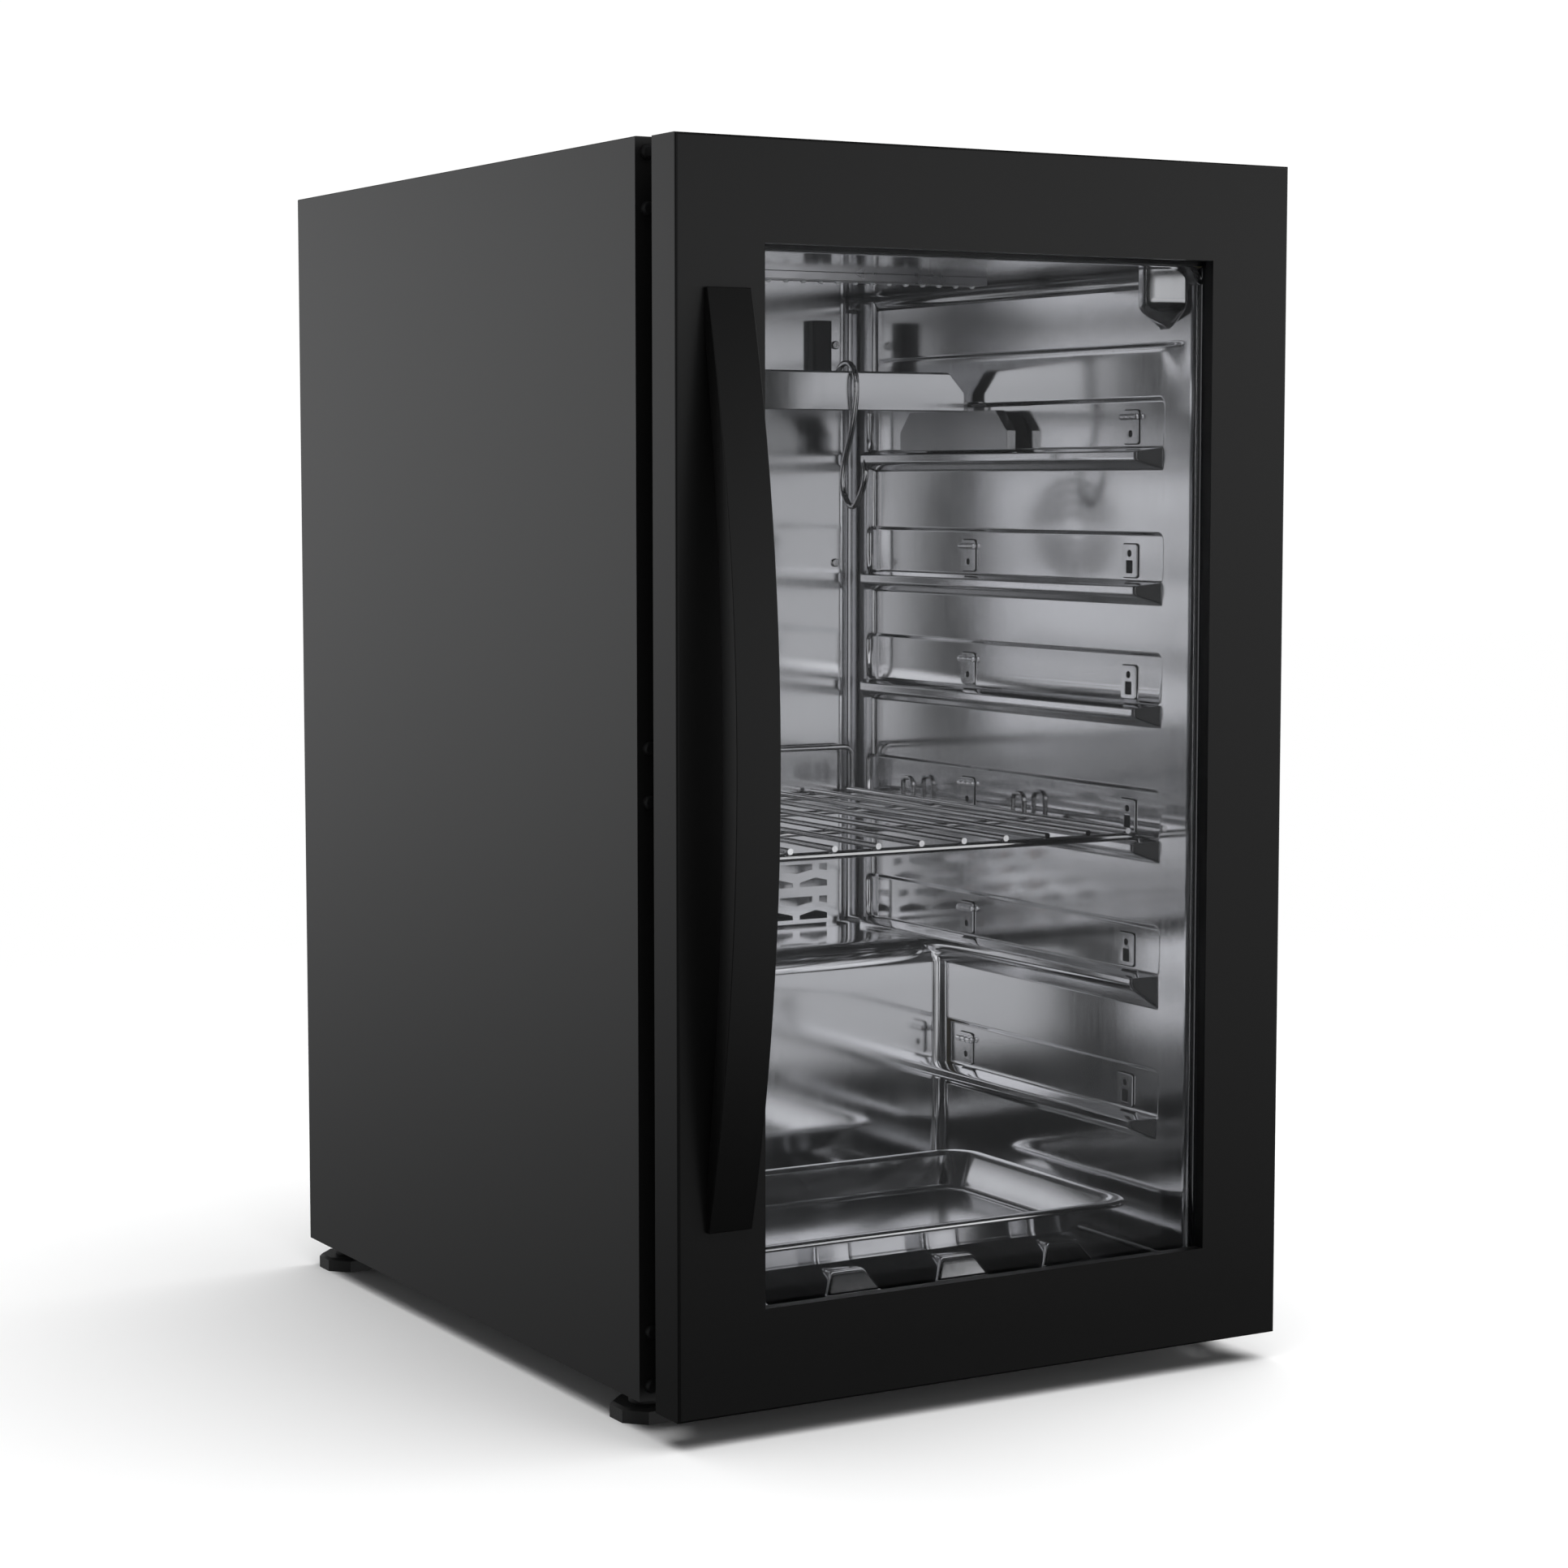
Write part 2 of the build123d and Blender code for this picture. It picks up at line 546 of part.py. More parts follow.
def rail_clips(hooked):
    """Small stamped clips on the recess panels: hooked ones or plain ones with a hole and a slot."""
    clips = []
    face = LINER_HALF + RECESS_DEPTH - WALL / 2
    for level, top in enumerate(LEDGE_TOPS):
        places = ((-149.5, level == 0), (72.5, True))
        for y, is_hooked in places:
            if is_hooked != hooked:
                continue
            x0 = face - 1.2
            clip = block(x0, face, y - 9.5, y + 9.5, top + 3.5, top + 28.5)
            clip = fillet(clip.edges().filter_by(Axis.X), 2.0)
            if hooked:
                clip -= rod((x0 - 1, y, top + 11), (face + 1, y, top + 11), 2.5)
                clip += block(x0 - 2.2, x0, y - 11, y + 11, top + 21, top + 26)
            else:
                clip -= rod((x0 - 1, y, top + 21.5), (face + 1, y, top + 21.5), 2.5)
                clip -= block(x0 - 1, face + 1, y - 4, y + 4, top + 7, top + 16)
            clips += both_sides(clip)
    return group(clips)


# ---- refrigeration ----

def finned_coil(length, rows, columns, pitch, radius, fin_count):
    """A serpentine of tubes along X through vertical fins, centred on the origin."""
    half = length / 2
    tube = None
    for row in range(rows):
        for column in range(columns):
            y = (column - (columns - 1) / 2) * pitch
            z = (row - (rows - 1) / 2) * pitch
            run = rod((-half, y, z), (half, y, z), radius)
            tube = run if tube is None else tube + run
            side = half if row % 2 == 0 else -half
            if row + 1 < rows:
                elbow = Pos(side, y, z + pitch / 2) * Rot(90, 0, 0) * Torus(pitch / 2, radius)
                sign = 1 if side > 0 else -1
                keep = Pos(side + sign * pitch, y, z + pitch / 2) * Box(2 * pitch, 2 * pitch, 3 * pitch)
                tube += elbow & keep
    fin_y = (columns * pitch) / 2
    fin_z = (rows * pitch) / 2
    for i in range(fin_count):
        x = -half + 8 + i * (length - 16) / (fin_count - 1)
        tube += block(x - 0.4, x + 0.4, -fin_y, fin_y, -fin_z, fin_z)
    return tube


def evaporator_coil():
    """Finned evaporator standing in the air duct, below the fan."""
    coil = Pos(0, 262, 430) * finned_coil(330, 8, 1, 20, 4, 33)
    for x in (-157, 157):
        coil += block(x - 1.5, x + 1.5, 271, LINER_BACK, 400, 460)
    return coil


def condenser_coil():
    """Finned condenser at the left of the machine compartment."""
    coil = Pos(-217, 243, 120) * Rot(0, 0, 90) * finned_coil(150, 7, 2, 20, 3.5, 24)
    for y in (176, 290):
        coil += block(-233, -201, y - 1.5, y + 1.5, BASE_TOP, 52)
    return coil


def fan_rotor(radius, hub_radius, width, shaft_radius):
    """A moulded fan wheel about Y, centred on the origin, bored for its shaft."""
    rotor = rod((0, -width / 2, 0), (0, width / 2, 0), hub_radius)
    for i in range(7):
        blade = Box(radius - hub_radius + 2, 1.8, radius * 0.55)
        blade = Rot(42, 0, 0) * blade
        blade = Pos((radius + hub_radius - 2) / 2, 0, 0) * blade
        blade = Rot(0, 360 / 7 * i, 0) * blade
        rotor += blade & rod((0, -width / 2, 0), (0, width / 2, 0), radius)
    return rotor - rod((0, -width, 0), (0, width, 0), shaft_radius)


def fan_housing(side, opening, motor_radius, shaft_radius, depth, motor_depth):
    """A square fan frame about Y with a motor on four arms and its shaft; the motor is at +Y."""
    half = side / 2
    frame = block(-half, half, -depth / 2, depth / 2, -half, half)
    frame -= rod((0, -depth, 0), (0, depth, 0), opening)
    back = depth / 2
    motor = rod((0, back - motor_depth, 0), (0, back, 0), motor_radius)
    for angle in (45, 135, 225, 315):
        arm = Rot(0, angle, 0) * block(motor_radius - 2, opening + 3, back - 2.5, back, -3, 3)
        motor += arm
    motor += rod((0, -depth / 2 + 2, 0), (0, back, 0), shaft_radius)
    return frame + motor


def evaporator_fan_frame():
    """Frame and motor of the air-circulation fan behind the duct panel."""
    frame = Pos(*EVAPORATOR_FAN) * fan_housing(108, 50, 17, 2.0, 26, 9)
    for dx in (-47, 47):
        for dz in (-47, 47):
            post = (dx, DUCT_FRONT + DUCT_SHEET, FAN_GRILLE_Z + dz)
            frame += rod(post, (dx, EVAPORATOR_FAN[1] - 12, FAN_GRILLE_Z + dz), 4)
    return frame


def evaporator_fan_rotor():
    """Wheel of the air-circulation fan."""
    rotor = fan_rotor(47, 16, 14, 2.0 + RUNNING_GAP)
    return Pos(EVAPORATOR_FAN[0], EVAPORATOR_FAN[1] - 4.5, FAN_GRILLE_Z) * rotor


def condenser_fan_frame():
    """Frame and motor of the condenser fan."""
    turn = Rot(0, 0, -90)
    frame = turn * fan_housing(146, 68, 22, 3.0, 30, 12)
    frame += block(-12, 12, -70, 70, -120 + BASE_TOP, -72)
    return Pos(*CONDENSER_FAN) * frame


def condenser_fan_rotor():
    """Wheel of the condenser fan."""
    return Pos(CONDENSER_FAN[0] - 5, CONDENSER_FAN[1], CONDENSER_FAN[2]) * Rot(0, 0, -90) * fan_rotor(
        65, 20, 16, 3.0 + RUNNING_GAP)


def bolt_places():
    """Where the compressor is bolted down, as (x, y)."""
    offsets = [(dx, dy) for dx in (-BOLT_DX, BOLT_DX) for dy in (-BOLT_DY, BOLT_DY)]
    return [(COMPRESSOR_X + dx, COMPRESSOR_Y + dy) for dx, dy in offsets]


def compressor():
    """Hermetic compressor shell on its base plate."""
    x, y = COMPRESSOR_X, COMPRESSOR_Y
    shell = rod((x, y, COMPRESSOR_HEIGHT[0]), (x, y, COMPRESSOR_HEIGHT[1]), COMPRESSOR_RADIUS)
    shell = fillet(shell.edges().filter_by(GeomType.CIRCLE), 24)
    shell += rod((x, y, 94), (x, y, 100), COMPRESSOR_RADIUS + 2.5)
    shell += block(x - 75, x + 75, y - 55, y + 55, *COMPRESSOR_PLATE)
    shell += rod((x, y - 35, 120), (x - 54, y - 35, 120), 4)
    shell += rod((x, y, 110), (x, y + 66, 110), 3)
    for bolt_x, bolt_y in bolt_places():
        shell -= rod((bolt_x, bolt_y, 30), (bolt_x, bolt_y, 50), 6)
    return shell


def compressor_grommets():
    """Rubber feet under the compressor's base plate."""
    grommets = []
    low, high = COMPRESSOR_PLATE
    for x, y in bolt_places():
        foot = rod((x, y, BASE_TOP), (x, y, low), 11) + rod((x, y, low), (x, y, high), 6)
        grommets.append(foot - rod((x, y, 0), (x, y, 60), BOLT_RADIUS))
    return group(grommets)


def compressor_bolts():
    """Bolts that hold the rubber feet to the base pan."""
    bolts = []
    washer, head_z = COMPRESSOR_PLATE[1], COMPRESSOR_PLATE[1] + 1.6
    for x, y in bolt_places():
        bolt = Pos(x, y, head_z) * extrude(RegularPolygon(6, 6), 4)
        bolt += rod((x, y, washer), (x, y, head_z), 8)
        bolts.append(bolt + rod((x, y, BASE_TOP), (x, y, head_z + 1), BOLT_RADIUS))
    return group(bolts)


def start_relay():
    """Terminal and relay box on the side of the compressor."""
    box = block(COMPRESSOR_X - 84, COMPRESSOR_X - 58.5, COMPRESSOR_Y - 24, COMPRESSOR_Y + 24, 66, 126)
    return fillet(box.edges().filter_by(Axis.Z), 3)


def evaporation_tray():
    """Pan on top of the compressor that dries off the drain water."""
    tray = block(46, 176, 176, 304, 158, 190)
    tray = fillet(tray.edges().filter_by(Axis.Z), 10)
    inner = block(48, 174, 178, 302, 160, 195)
    return tray - fillet(inner.edges().filter_by(Axis.Z), 8)


def drain_tube():
    """Tube from the duct floor to the evaporation pan."""
    tube = rod((DRAIN_X, DUCT_PIPE_Y, 172), (DRAIN_X, DUCT_PIPE_Y, STEP_TOP - WALL), PASSAGE_RADIUS)
    return tube - rod((DRAIN_X, DUCT_PIPE_Y, 170), (DRAIN_X, DUCT_PIPE_Y, 300), PASSAGE_RADIUS - 2.0)


def filter_drier():
    """Copper filter drier in the liquid line."""
    body = rod((-20, 300, 60), (-20, 300, 150), 9)
    return fillet(body.edges().filter_by(GeomType.CIRCLE), 6)


def refrigerant_lines():
    """Suction, discharge and liquid lines."""
    suction = pipe([(-165, 262, 360), (-178, 262, 360), (-178, 262, 320), (20, 262, 320), (20, 262, 120),
                    (20, 205, 120), (56, 205, 120)], 4, 6)
    discharge = pipe([(110, 306, 110), (110, 326, 110), (110, 326, 208), (-207, 326, 208), (-207, 326, 180),
                      (-207, 318, 180)], 3, 4)
    liquid = pipe([(-207, 168, 60), (-207, 157, 60), (-20, 157, 60), (-20, 157, 45), (-20, 300, 45),
                   (-20, 300, 60)], 2.5, 4)
    capillary = pipe([(-20, 300, 150), (-20, 300, 190), (-20, 262, 190), (16, 262, 190)], 1.5, 6)
    return group([suction, discharge, liquid, capillary])


def control_box():
    """Electronics box in the machine compartment."""
    box = block(196, 244, ROOM_FRONT + SHEET, 226, 110, 200)
    box = fillet(box.edges().filter_by(Axis.Y), 3)
    return box - block(198, 242, 148, 224, 112, 198)


def power_inlet():
    """Panel inlet for an appliance lead, with its three blades."""
    body = block(188.2, 215.8, 315, PANEL_BACK - 1, 48.2, 69.8)
    body += block(188, 216, PANEL_BACK - 1, PANEL_BACK, 48, 70)
    body += block(177, 227, PANEL_BACK, BACK, 45, 73)
    body -= block(190, 214, 322, BACK + 1, 50, 68)
    for x, z in ((195.0, 57.0), (202.0, 61.0), (209.0, 57.0)):
        body += block(x - 1, x + 1, 320, 338, z - 2, z + 2)
    return body


# ---- hinges ----

def turn_over(shape):
    """The same shape at the bottom of the door."""
    return mirror(shape, about=Plane.XY.offset(DOOR_MID))


def hinge_brackets():
    """Hinge plates on the case flange, each with an arm that reaches into the door's corner notch."""
    top = DOOR_TOP - 1.0
    x0, x1 = PIN_X, HALF - 1.0
    plate = block(x0, x1, CASE_FRONT - HINGE_SHEET, CASE_FRONT, 811.0, top)
    arm = block(PIN_X - ARM_HALF, PIN_X + ARM_HALF, PIN_Y, CASE_FRONT, top - HINGE_SHEET, top)
    arm += rod((PIN_X, PIN_Y, top - HINGE_SHEET), (PIN_X, PIN_Y, top), ARM_HALF)
    bracket = plate + arm - rod((PIN_X, PIN_Y, 800), (PIN_X, PIN_Y, 900), PIN_RADIUS)
    upper, lower = bracket, turn_over(bracket)
    for z in HINGE_SCREW_Z:
        hole = rod((HOLE_PAIR_X, CASE_FRONT - 10, z), (HOLE_PAIR_X, CASE_FRONT + 1, z), 2.6)
        upper -= hole
        lower -= hole
    return group([upper, lower])


def hinge_pins():
    """Pins fixed in the bracket arms."""
    top = DOOR_TOP - 1.0
    pin = rod((PIN_X, PIN_Y, top - PIN_LENGTH), (PIN_X, PIN_Y, top), PIN_RADIUS)
    return group([pin, turn_over(pin)])


def hinge_screws():
    """Pan-head screws of both hinge plates."""
    screws = []
    face = CASE_FRONT - HINGE_SHEET
    for z in HINGE_SCREW_Z:
        head = rod((HOLE_PAIR_X, face - 2.2, z), (HOLE_PAIR_X, face, z), 4.0)
        head = fillet(head.edges().sort_by(Axis.Y)[0], 1.2)
        screws.append(head + rod((HOLE_PAIR_X, face, z), (HOLE_PAIR_X, CASE_FRONT + 3, z), 2.6))
    return group(screws)


# ---- door ----

def hinge_pocket():
    """Notch in the door's top right rear corner that the hinge arm turns in."""
    return block(PIN_X - 9.5, HALF + 1, PIN_Y - 12.5, DOOR_BACK + 1, DOOR_TOP - HINGE_POCKET, DOOR_TOP + 1)


def corner_block_box():
    """Room of the top corner block inside the door."""
    return block(PIN_X - 12, HALF - DOOR_SKIN, DOOR_FRONT + DOOR_SKIN, DOOR_BACK - 3.5,
                 CORNER_BLOCK_BOTTOM, DOOR_TOP - DOOR_SKIN)


def door_skin():
    """Painted outer shell of the door, with the returned edges and the window reveal."""
    skin = block(-HALF, HALF, DOOR_FRONT, DOOR_BACK, DOOR_BOTTOM, DOOR_TOP)
    skin = fillet(skin.edges().group_by(Axis.Y)[0], 2.0)
    side = DOOR_SKIN
    inner_half, inner_front = HALF - side, DOOR_FRONT + side
    skin -= block(-inner_half, inner_half, inner_front, DOOR_BACK + 1, DOOR_BOTTOM + side, DOOR_TOP - side)
    skin += ring(WINDOW_HALF + side, WINDOW_BOTTOM - side, WINDOW_TOP + side,
                 WINDOW_HALF, WINDOW_BOTTOM, WINDOW_TOP, DOOR_FRONT + side, DOOR_FRONT + REVEAL)
    skin -= block(-WINDOW_HALF, WINDOW_HALF, DOOR_FRONT - 1, DOOR_FRONT + 20, WINDOW_BOTTOM, WINDOW_TOP)
    return skin - hinge_pocket() - turn_over(hinge_pocket())


def door_foam():
    """Insulation inside the door frame, round the glass unit."""
    side = DOOR_SKIN
    y0, y1 = DOOR_FRONT + side, DOOR_BACK - 3.5
    foam = block(-HALF + side, HALF - side, y0, y1, DOOR_BOTTOM + side, DOOR_TOP - side)
    lip = WINDOW_HALF + side
    foam -= block(-lip, lip, y0 - 1, y1 + 1, WINDOW_BOTTOM - side, WINDOW_TOP + side)
    foam -= block(-PANE_HALF - 1, PANE_HALF + 1, GLASS_FRONT, y1 + 1, PANE_BOTTOM - 1, PANE_TOP + 1)
    foam -= corner_block_box()
    foam -= turn_over(corner_block_box())
    for z in (HANDLE_Z[0] + 15, HANDLE_Z[1] - 15):
        foam -= rod((sum(HANDLE_X) / 2, y0 - 1, z), (sum(HANDLE_X) / 2, y1 + 1, z), 5.0)
    return foam


def door_corner_blocks():
    """Moulded blocks in the door's hinge corners that hold the bushes."""
    corner = corner_block_box() - hinge_pocket()
    corner -= rod((PIN_X, PIN_Y, 820), (PIN_X, PIN_Y, 870), 5.0)
    return group([corner, turn_over(corner)])


def hinge_bushes():
    """Flanged plastic bushes that run on the hinge pins."""
    floor = DOOR_TOP - HINGE_POCKET
    bush = rod((PIN_X, PIN_Y, floor - 22), (PIN_X, PIN_Y, floor), 5.0)
    bush += rod((PIN_X, PIN_Y, floor), (PIN_X, PIN_Y, floor + 0.8), 7.0)
    bush -= rod((PIN_X, PIN_Y, floor - 30), (PIN_X, PIN_Y, floor + 5), PIN_RADIUS + RUNNING_GAP)
    return group([bush, turn_over(bush)])


def door_back_frame():
    """Moulded rear frame of the door, with the collar that carries the gasket."""
    edge = HALF - DOOR_SKIN
    frame = ring(edge, DOOR_BOTTOM + DOOR_SKIN, DOOR_TOP - DOOR_SKIN, BACK_FRAME_HALF, BACK_FRAME_BOTTOM,
                 BACK_FRAME_TOP, DOOR_BACK - 3.4, DOOR_BACK)
    frame += ring(COLLAR_HALF_OUT, DOOR_BOTTOM + 15.5, DOOR_TOP - 15.5,
                  COLLAR_HALF_IN, PANE_BOTTOM - 2, PANE_TOP, DOOR_BACK, DOOR_BACK + COLLAR_DEPTH)
    return frame - hinge_pocket() - turn_over(hinge_pocket())


def glass_pane(y0):
    """One pane of the sealed glass unit."""
    pane = block(-PANE_HALF, PANE_HALF, y0, y0 + PANE, PANE_BOTTOM, PANE_TOP)
    return chamfer(pane.edges().group_by(Axis.Y)[0], 0.5)


def glass_spacer():
    """Black edge spacer between the two panes."""
    out = 1.0
    inside = out + SPACER_WIDTH
    return ring(PANE_HALF - out, PANE_BOTTOM + out, PANE_TOP - out, PANE_HALF - inside, PANE_BOTTOM + inside,
                PANE_TOP - inside, GLASS_FRONT + PANE, GLASS_FRONT + PANE + PANE_GAP)


def door_gasket():
    """Soft magnetic gasket with a bellows groove."""
    y0, y1 = DOOR_BACK + COLLAR_DEPTH, CASE_FRONT - GASKET_SQUEEZE_GAP
    z0, z1 = DOOR_BOTTOM + GASKET_EDGE, DOOR_TOP - GASKET_EDGE
    lip = GASKET_HALF_OUT - GASKET_HALF_IN
    gasket = ring(GASKET_HALF_OUT, z0, z1, GASKET_HALF_IN, z0 + lip, z1 - lip, y0, y1)
    groove = ring(GASKET_HALF_OUT + 1, z0 - 1, z1 + 1, GASKET_HALF_OUT - 3, z0 + 3, z1 - 3, y0 + 4, y0 + 7)
    return gasket - groove


def door_handle():
    """Bowed strip handle that thins to its screwed ends."""
    z0, z1 = HANDLE_Z
    mid = (z0 + z1) / 2
    face = DOOR_FRONT
    x = HANDLE_X[0]
    outer = ThreePointArc((x, face - HANDLE_END, z0), (x, face - HANDLE_REACH, mid),
                          (x, face - HANDLE_END, z1))
    top = Polyline((x, face - HANDLE_END, z1), (x, face, z1), (x, face, z1 - HANDLE_FOOT))
    inner = ThreePointArc((x, face, z1 - HANDLE_FOOT), (x, face - HANDLE_GRIP, mid),
                          (x, face, z0 + HANDLE_FOOT))
    bottom = Polyline((x, face, z0 + HANDLE_FOOT), (x, face, z0), (x, face - HANDLE_END, z0))
    outline = make_face(Wire([outer] + list(top.edges()) + [inner] + list(bottom.edges())))
    handle = extrude(outline, amount=HANDLE_X[1] - HANDLE_X[0], dir=(1, 0, 0))
    for z in (z0 + 15, z1 - 15):
        handle -= rod((sum(HANDLE_X) / 2, face - 4.5, z), (sum(HANDLE_X) / 2, face + 1, z), 2.0)
    return handle


def handle_screws():
    """Screws from inside the door into the handle's ends."""
    x = sum(HANDLE_X) / 2
    screws = []
    for z in (HANDLE_Z[0] + 15, HANDLE_Z[1] - 15):
        head = rod((x, DOOR_FRONT + DOOR_SKIN, z), (x, DOOR_FRONT + DOOR_SKIN + 3, z), 4.0)
        screws.append(head + rod((x, DOOR_FRONT - 4.5, z), (x, DOOR_FRONT + DOOR_SKIN, z), 2.0))
    return group(screws)


def drilled_door_skin():
    """The door shell with its handle screw holes."""
    skin = door_skin()
    for z in (HANDLE_Z[0] + 15, HANDLE_Z[1] - 15):
        skin -= rod((sum(HANDLE_X) / 2, DOOR_FRONT - 1, z), (sum(HANDLE_X) / 2, DOOR_FRONT + 3, z), 2.0)
    return skin


# ---- feet ----

def foot_pad(x, y):
    """Octagonal moulded pad of a levelling foot."""
    pad = Pos(x, y, 0) * Rot(0, 0, 22.5) * extrude(
        RegularPolygon(FOOT_ACROSS / 2, 8, major_radius=False), FOOT_HEIGHT)
    pad = chamfer(pad.edges().group_by(Axis.Z)[-1], 2.0)
    pad += rod((x, y, FOOT_HEIGHT), (x, y, FOOT_HEIGHT + 4), 12)
    return pad - rod((x, y, 4), (x, y, 60), STUD_RADIUS)


def foot_stud(x, y):
    """Threaded stud of a levelling foot."""
    return rod((x, y, 4), (x, y, STUD_TOP), STUD_RADIUS)


# ---- inside fittings ----

def hanging_bar():
    """Inverted channel that the hooks hang on, with clipped top corners."""
    y0, y1 = BAR_Y
    shoulder = BAR_TOP - 16
    outline = [(-BAR_HALF, BAR_BOTTOM), (BAR_HALF, BAR_BOTTOM), (BAR_HALF, shoulder), (BAR_HALF - 15, BAR_TOP),
               (-BAR_HALF + 15, BAR_TOP), (-BAR_HALF, shoulder)]
    bar = profile_xz(outline, y0, y1)
    bar = fillet(bar.edges().filter_by(Axis.X).group_by(Axis.Z)[-1], 2.0)
    return bar - block(-BAR_HALF - 1, BAR_HALF + 1, y0 + BAR_SHEET, y1 - BAR_SHEET, BAR_BOTTOM - 1,
                       BAR_TOP - BAR_SHEET)


def bar_bracket():
    """Right-hand folded bracket that stands on the top ledge and carries the bar."""
    x0, x1 = BRACKET_X
    base = LEDGE_TOPS[0]
    top = BAR_BOTTOM
    knee = base + 15.3
    outline = [(BRACKET_BOTTOM_Y[0], base), (BRACKET_BOTTOM_Y[1], base), (BRACKET_BOTTOM_Y[1], knee),
               (BRACKET_TOP_Y[1], top), (BRACKET_TOP_Y[0], top), (BRACKET_BOTTOM_Y[0], knee)]
    solid = profile_yz(outline, x0, x1)
    sheet = BRACKET_SHEET
    middle = sum(BAR_Y) / 2
    rise = {base: sheet, knee: 0, top: -sheet}
    inner = [(y + (sheet if y < middle else -sheet), z + rise[z]) for y, z in outline]
    bracket = solid - profile_yz(inner, x0 + sheet, x1 + 1)
    tab = block(x0, x1, BAR_Y[0] + BAR_SHEET + 0.5, BAR_Y[1] - BAR_SHEET - 0.5, top, top + 8)
    return bracket + tab


def s_hook():
    """Pointed S-shaped hook that hangs over the bar."""
    centre_y = sum(BAR_Y) / 2
    route = [(centre_y + HOOK_LOOP, HOOK_LOOP_Z - 14.0)]
    for angle in range(0, 181, 30):
        turn = math.radians(angle)
        route.append((centre_y + HOOK_LOOP * math.cos(turn), HOOK_LOOP_Z + HOOK_LOOP * math.sin(turn)))
    path = Spline(*[(HOOK_X, y, z) for y, z in route + list(HOOK_TAIL)])
    wire = sweep(Plane(path @ 0, z_dir=path % 0) * Circle(HOOK_WIRE), path=path)
    from_tip = (Align.CENTER, Align.CENTER, Align.MIN)
    point = Plane(path @ 1, z_dir=path % 1) * Cone(HOOK_WIRE, 0.4, HOOK_POINT, align=from_tip)
    return wire + point


def wire_shelf():
    """Welded wire shelf with a rear stop wire and side loops."""
    z = LEDGE_TOPS[SHELF_LEVEL] + SHELF_WIRE + 0.05
    half = SHELF_HALF
    r = SHELF_WIRE
    shelf = rod((-half, SHELF_FRONT, z), (half, SHELF_FRONT, z), r)
    shelf += rod((-half, SHELF_REAR, z), (half, SHELF_REAR, z), r)
    for x in (-half, half):
        shelf += rod((x, SHELF_FRONT, z), (x, SHELF_REAR, z), r)
        for y in (SHELF_FRONT, SHELF_REAR):
            shelf += Pos(x, y, z) * Sphere(r)
        for y in SHELF_LOOP_Y:
            shelf += pipe([(x, y - 8, z), (x, y - 8, z + 20), (x, y + 8, z + 20), (x, y + 8, z)], 2.0, 6)
    crossing = z + r + SHELF_CROSS_WIRE - 0.6
    for i in range(SHELF_WIRE_COUNT):
        x = (i - (SHELF_WIRE_COUNT - 1) / 2) * SHELF_PITCH
        shelf += rod((x, -162.5 - 14, crossing), (x, SHELF_REAR + 2, crossing), SHELF_CROSS_WIRE)
    for y in (-40.0, 95.0):
        shelf += rod((-half, y, z + 0.8), (half, y, z + 0.8), 2.0)
    leg = 202.5
    stop_z = 417.0
    shelf += pipe([(-leg, SHELF_REAR, z), (-leg, SHELF_REAR, stop_z), (leg, SHELF_REAR, stop_z),
                   (leg, SHELF_REAR, z)], 2.3, 8)
    return shelf


def tray_solid(inset, low):
    """Flared pan body between the rim outline and a smaller floor outline."""
    y0, y1 = TRAY_Y
    mid_y = (y0 + y1) / 2
    long, wide = 2 * TRAY_HALF, y1 - y0
    rim = RectangleRounded(long - 2 * inset, wide - 2 * inset, 24 - inset / 3)
    inset += TRAY_SLOPE
    floor = RectangleRounded(long - 2 * inset, wide - 2 * inset, 22 - inset / 3)
    return loft([Pos(0, mid_y, low) * floor, Pos(0, mid_y, TRAY_RIM_Z) * rim])


def drip_tray():
    """Pressed drip tray with flared walls and a flat rim."""
    y0, y1 = TRAY_Y
    lip = 7.0
    body = tray_solid(lip, RIB_TOP)
    mid_y = (y0 + y1) / 2
    rim = Pos(0, mid_y, TRAY_RIM_Z - 1.6) * extrude(RectangleRounded(2 * TRAY_HALF, y1 - y0, 26), 1.6)
    rim = fillet(rim.edges().group_by(Axis.Z)[-1], 0.7)
    hollow = tray_solid(lip + TRAY_SHEET, RIB_TOP + TRAY_SHEET)
    mouth = Pos(0, mid_y, TRAY_RIM_Z) * extrude(
        RectangleRounded(2 * (TRAY_HALF - lip - TRAY_SHEET), y1 - y0 - 2 * (lip + TRAY_SHEET), 21), 2)
    return body + rim - hollow - mouth


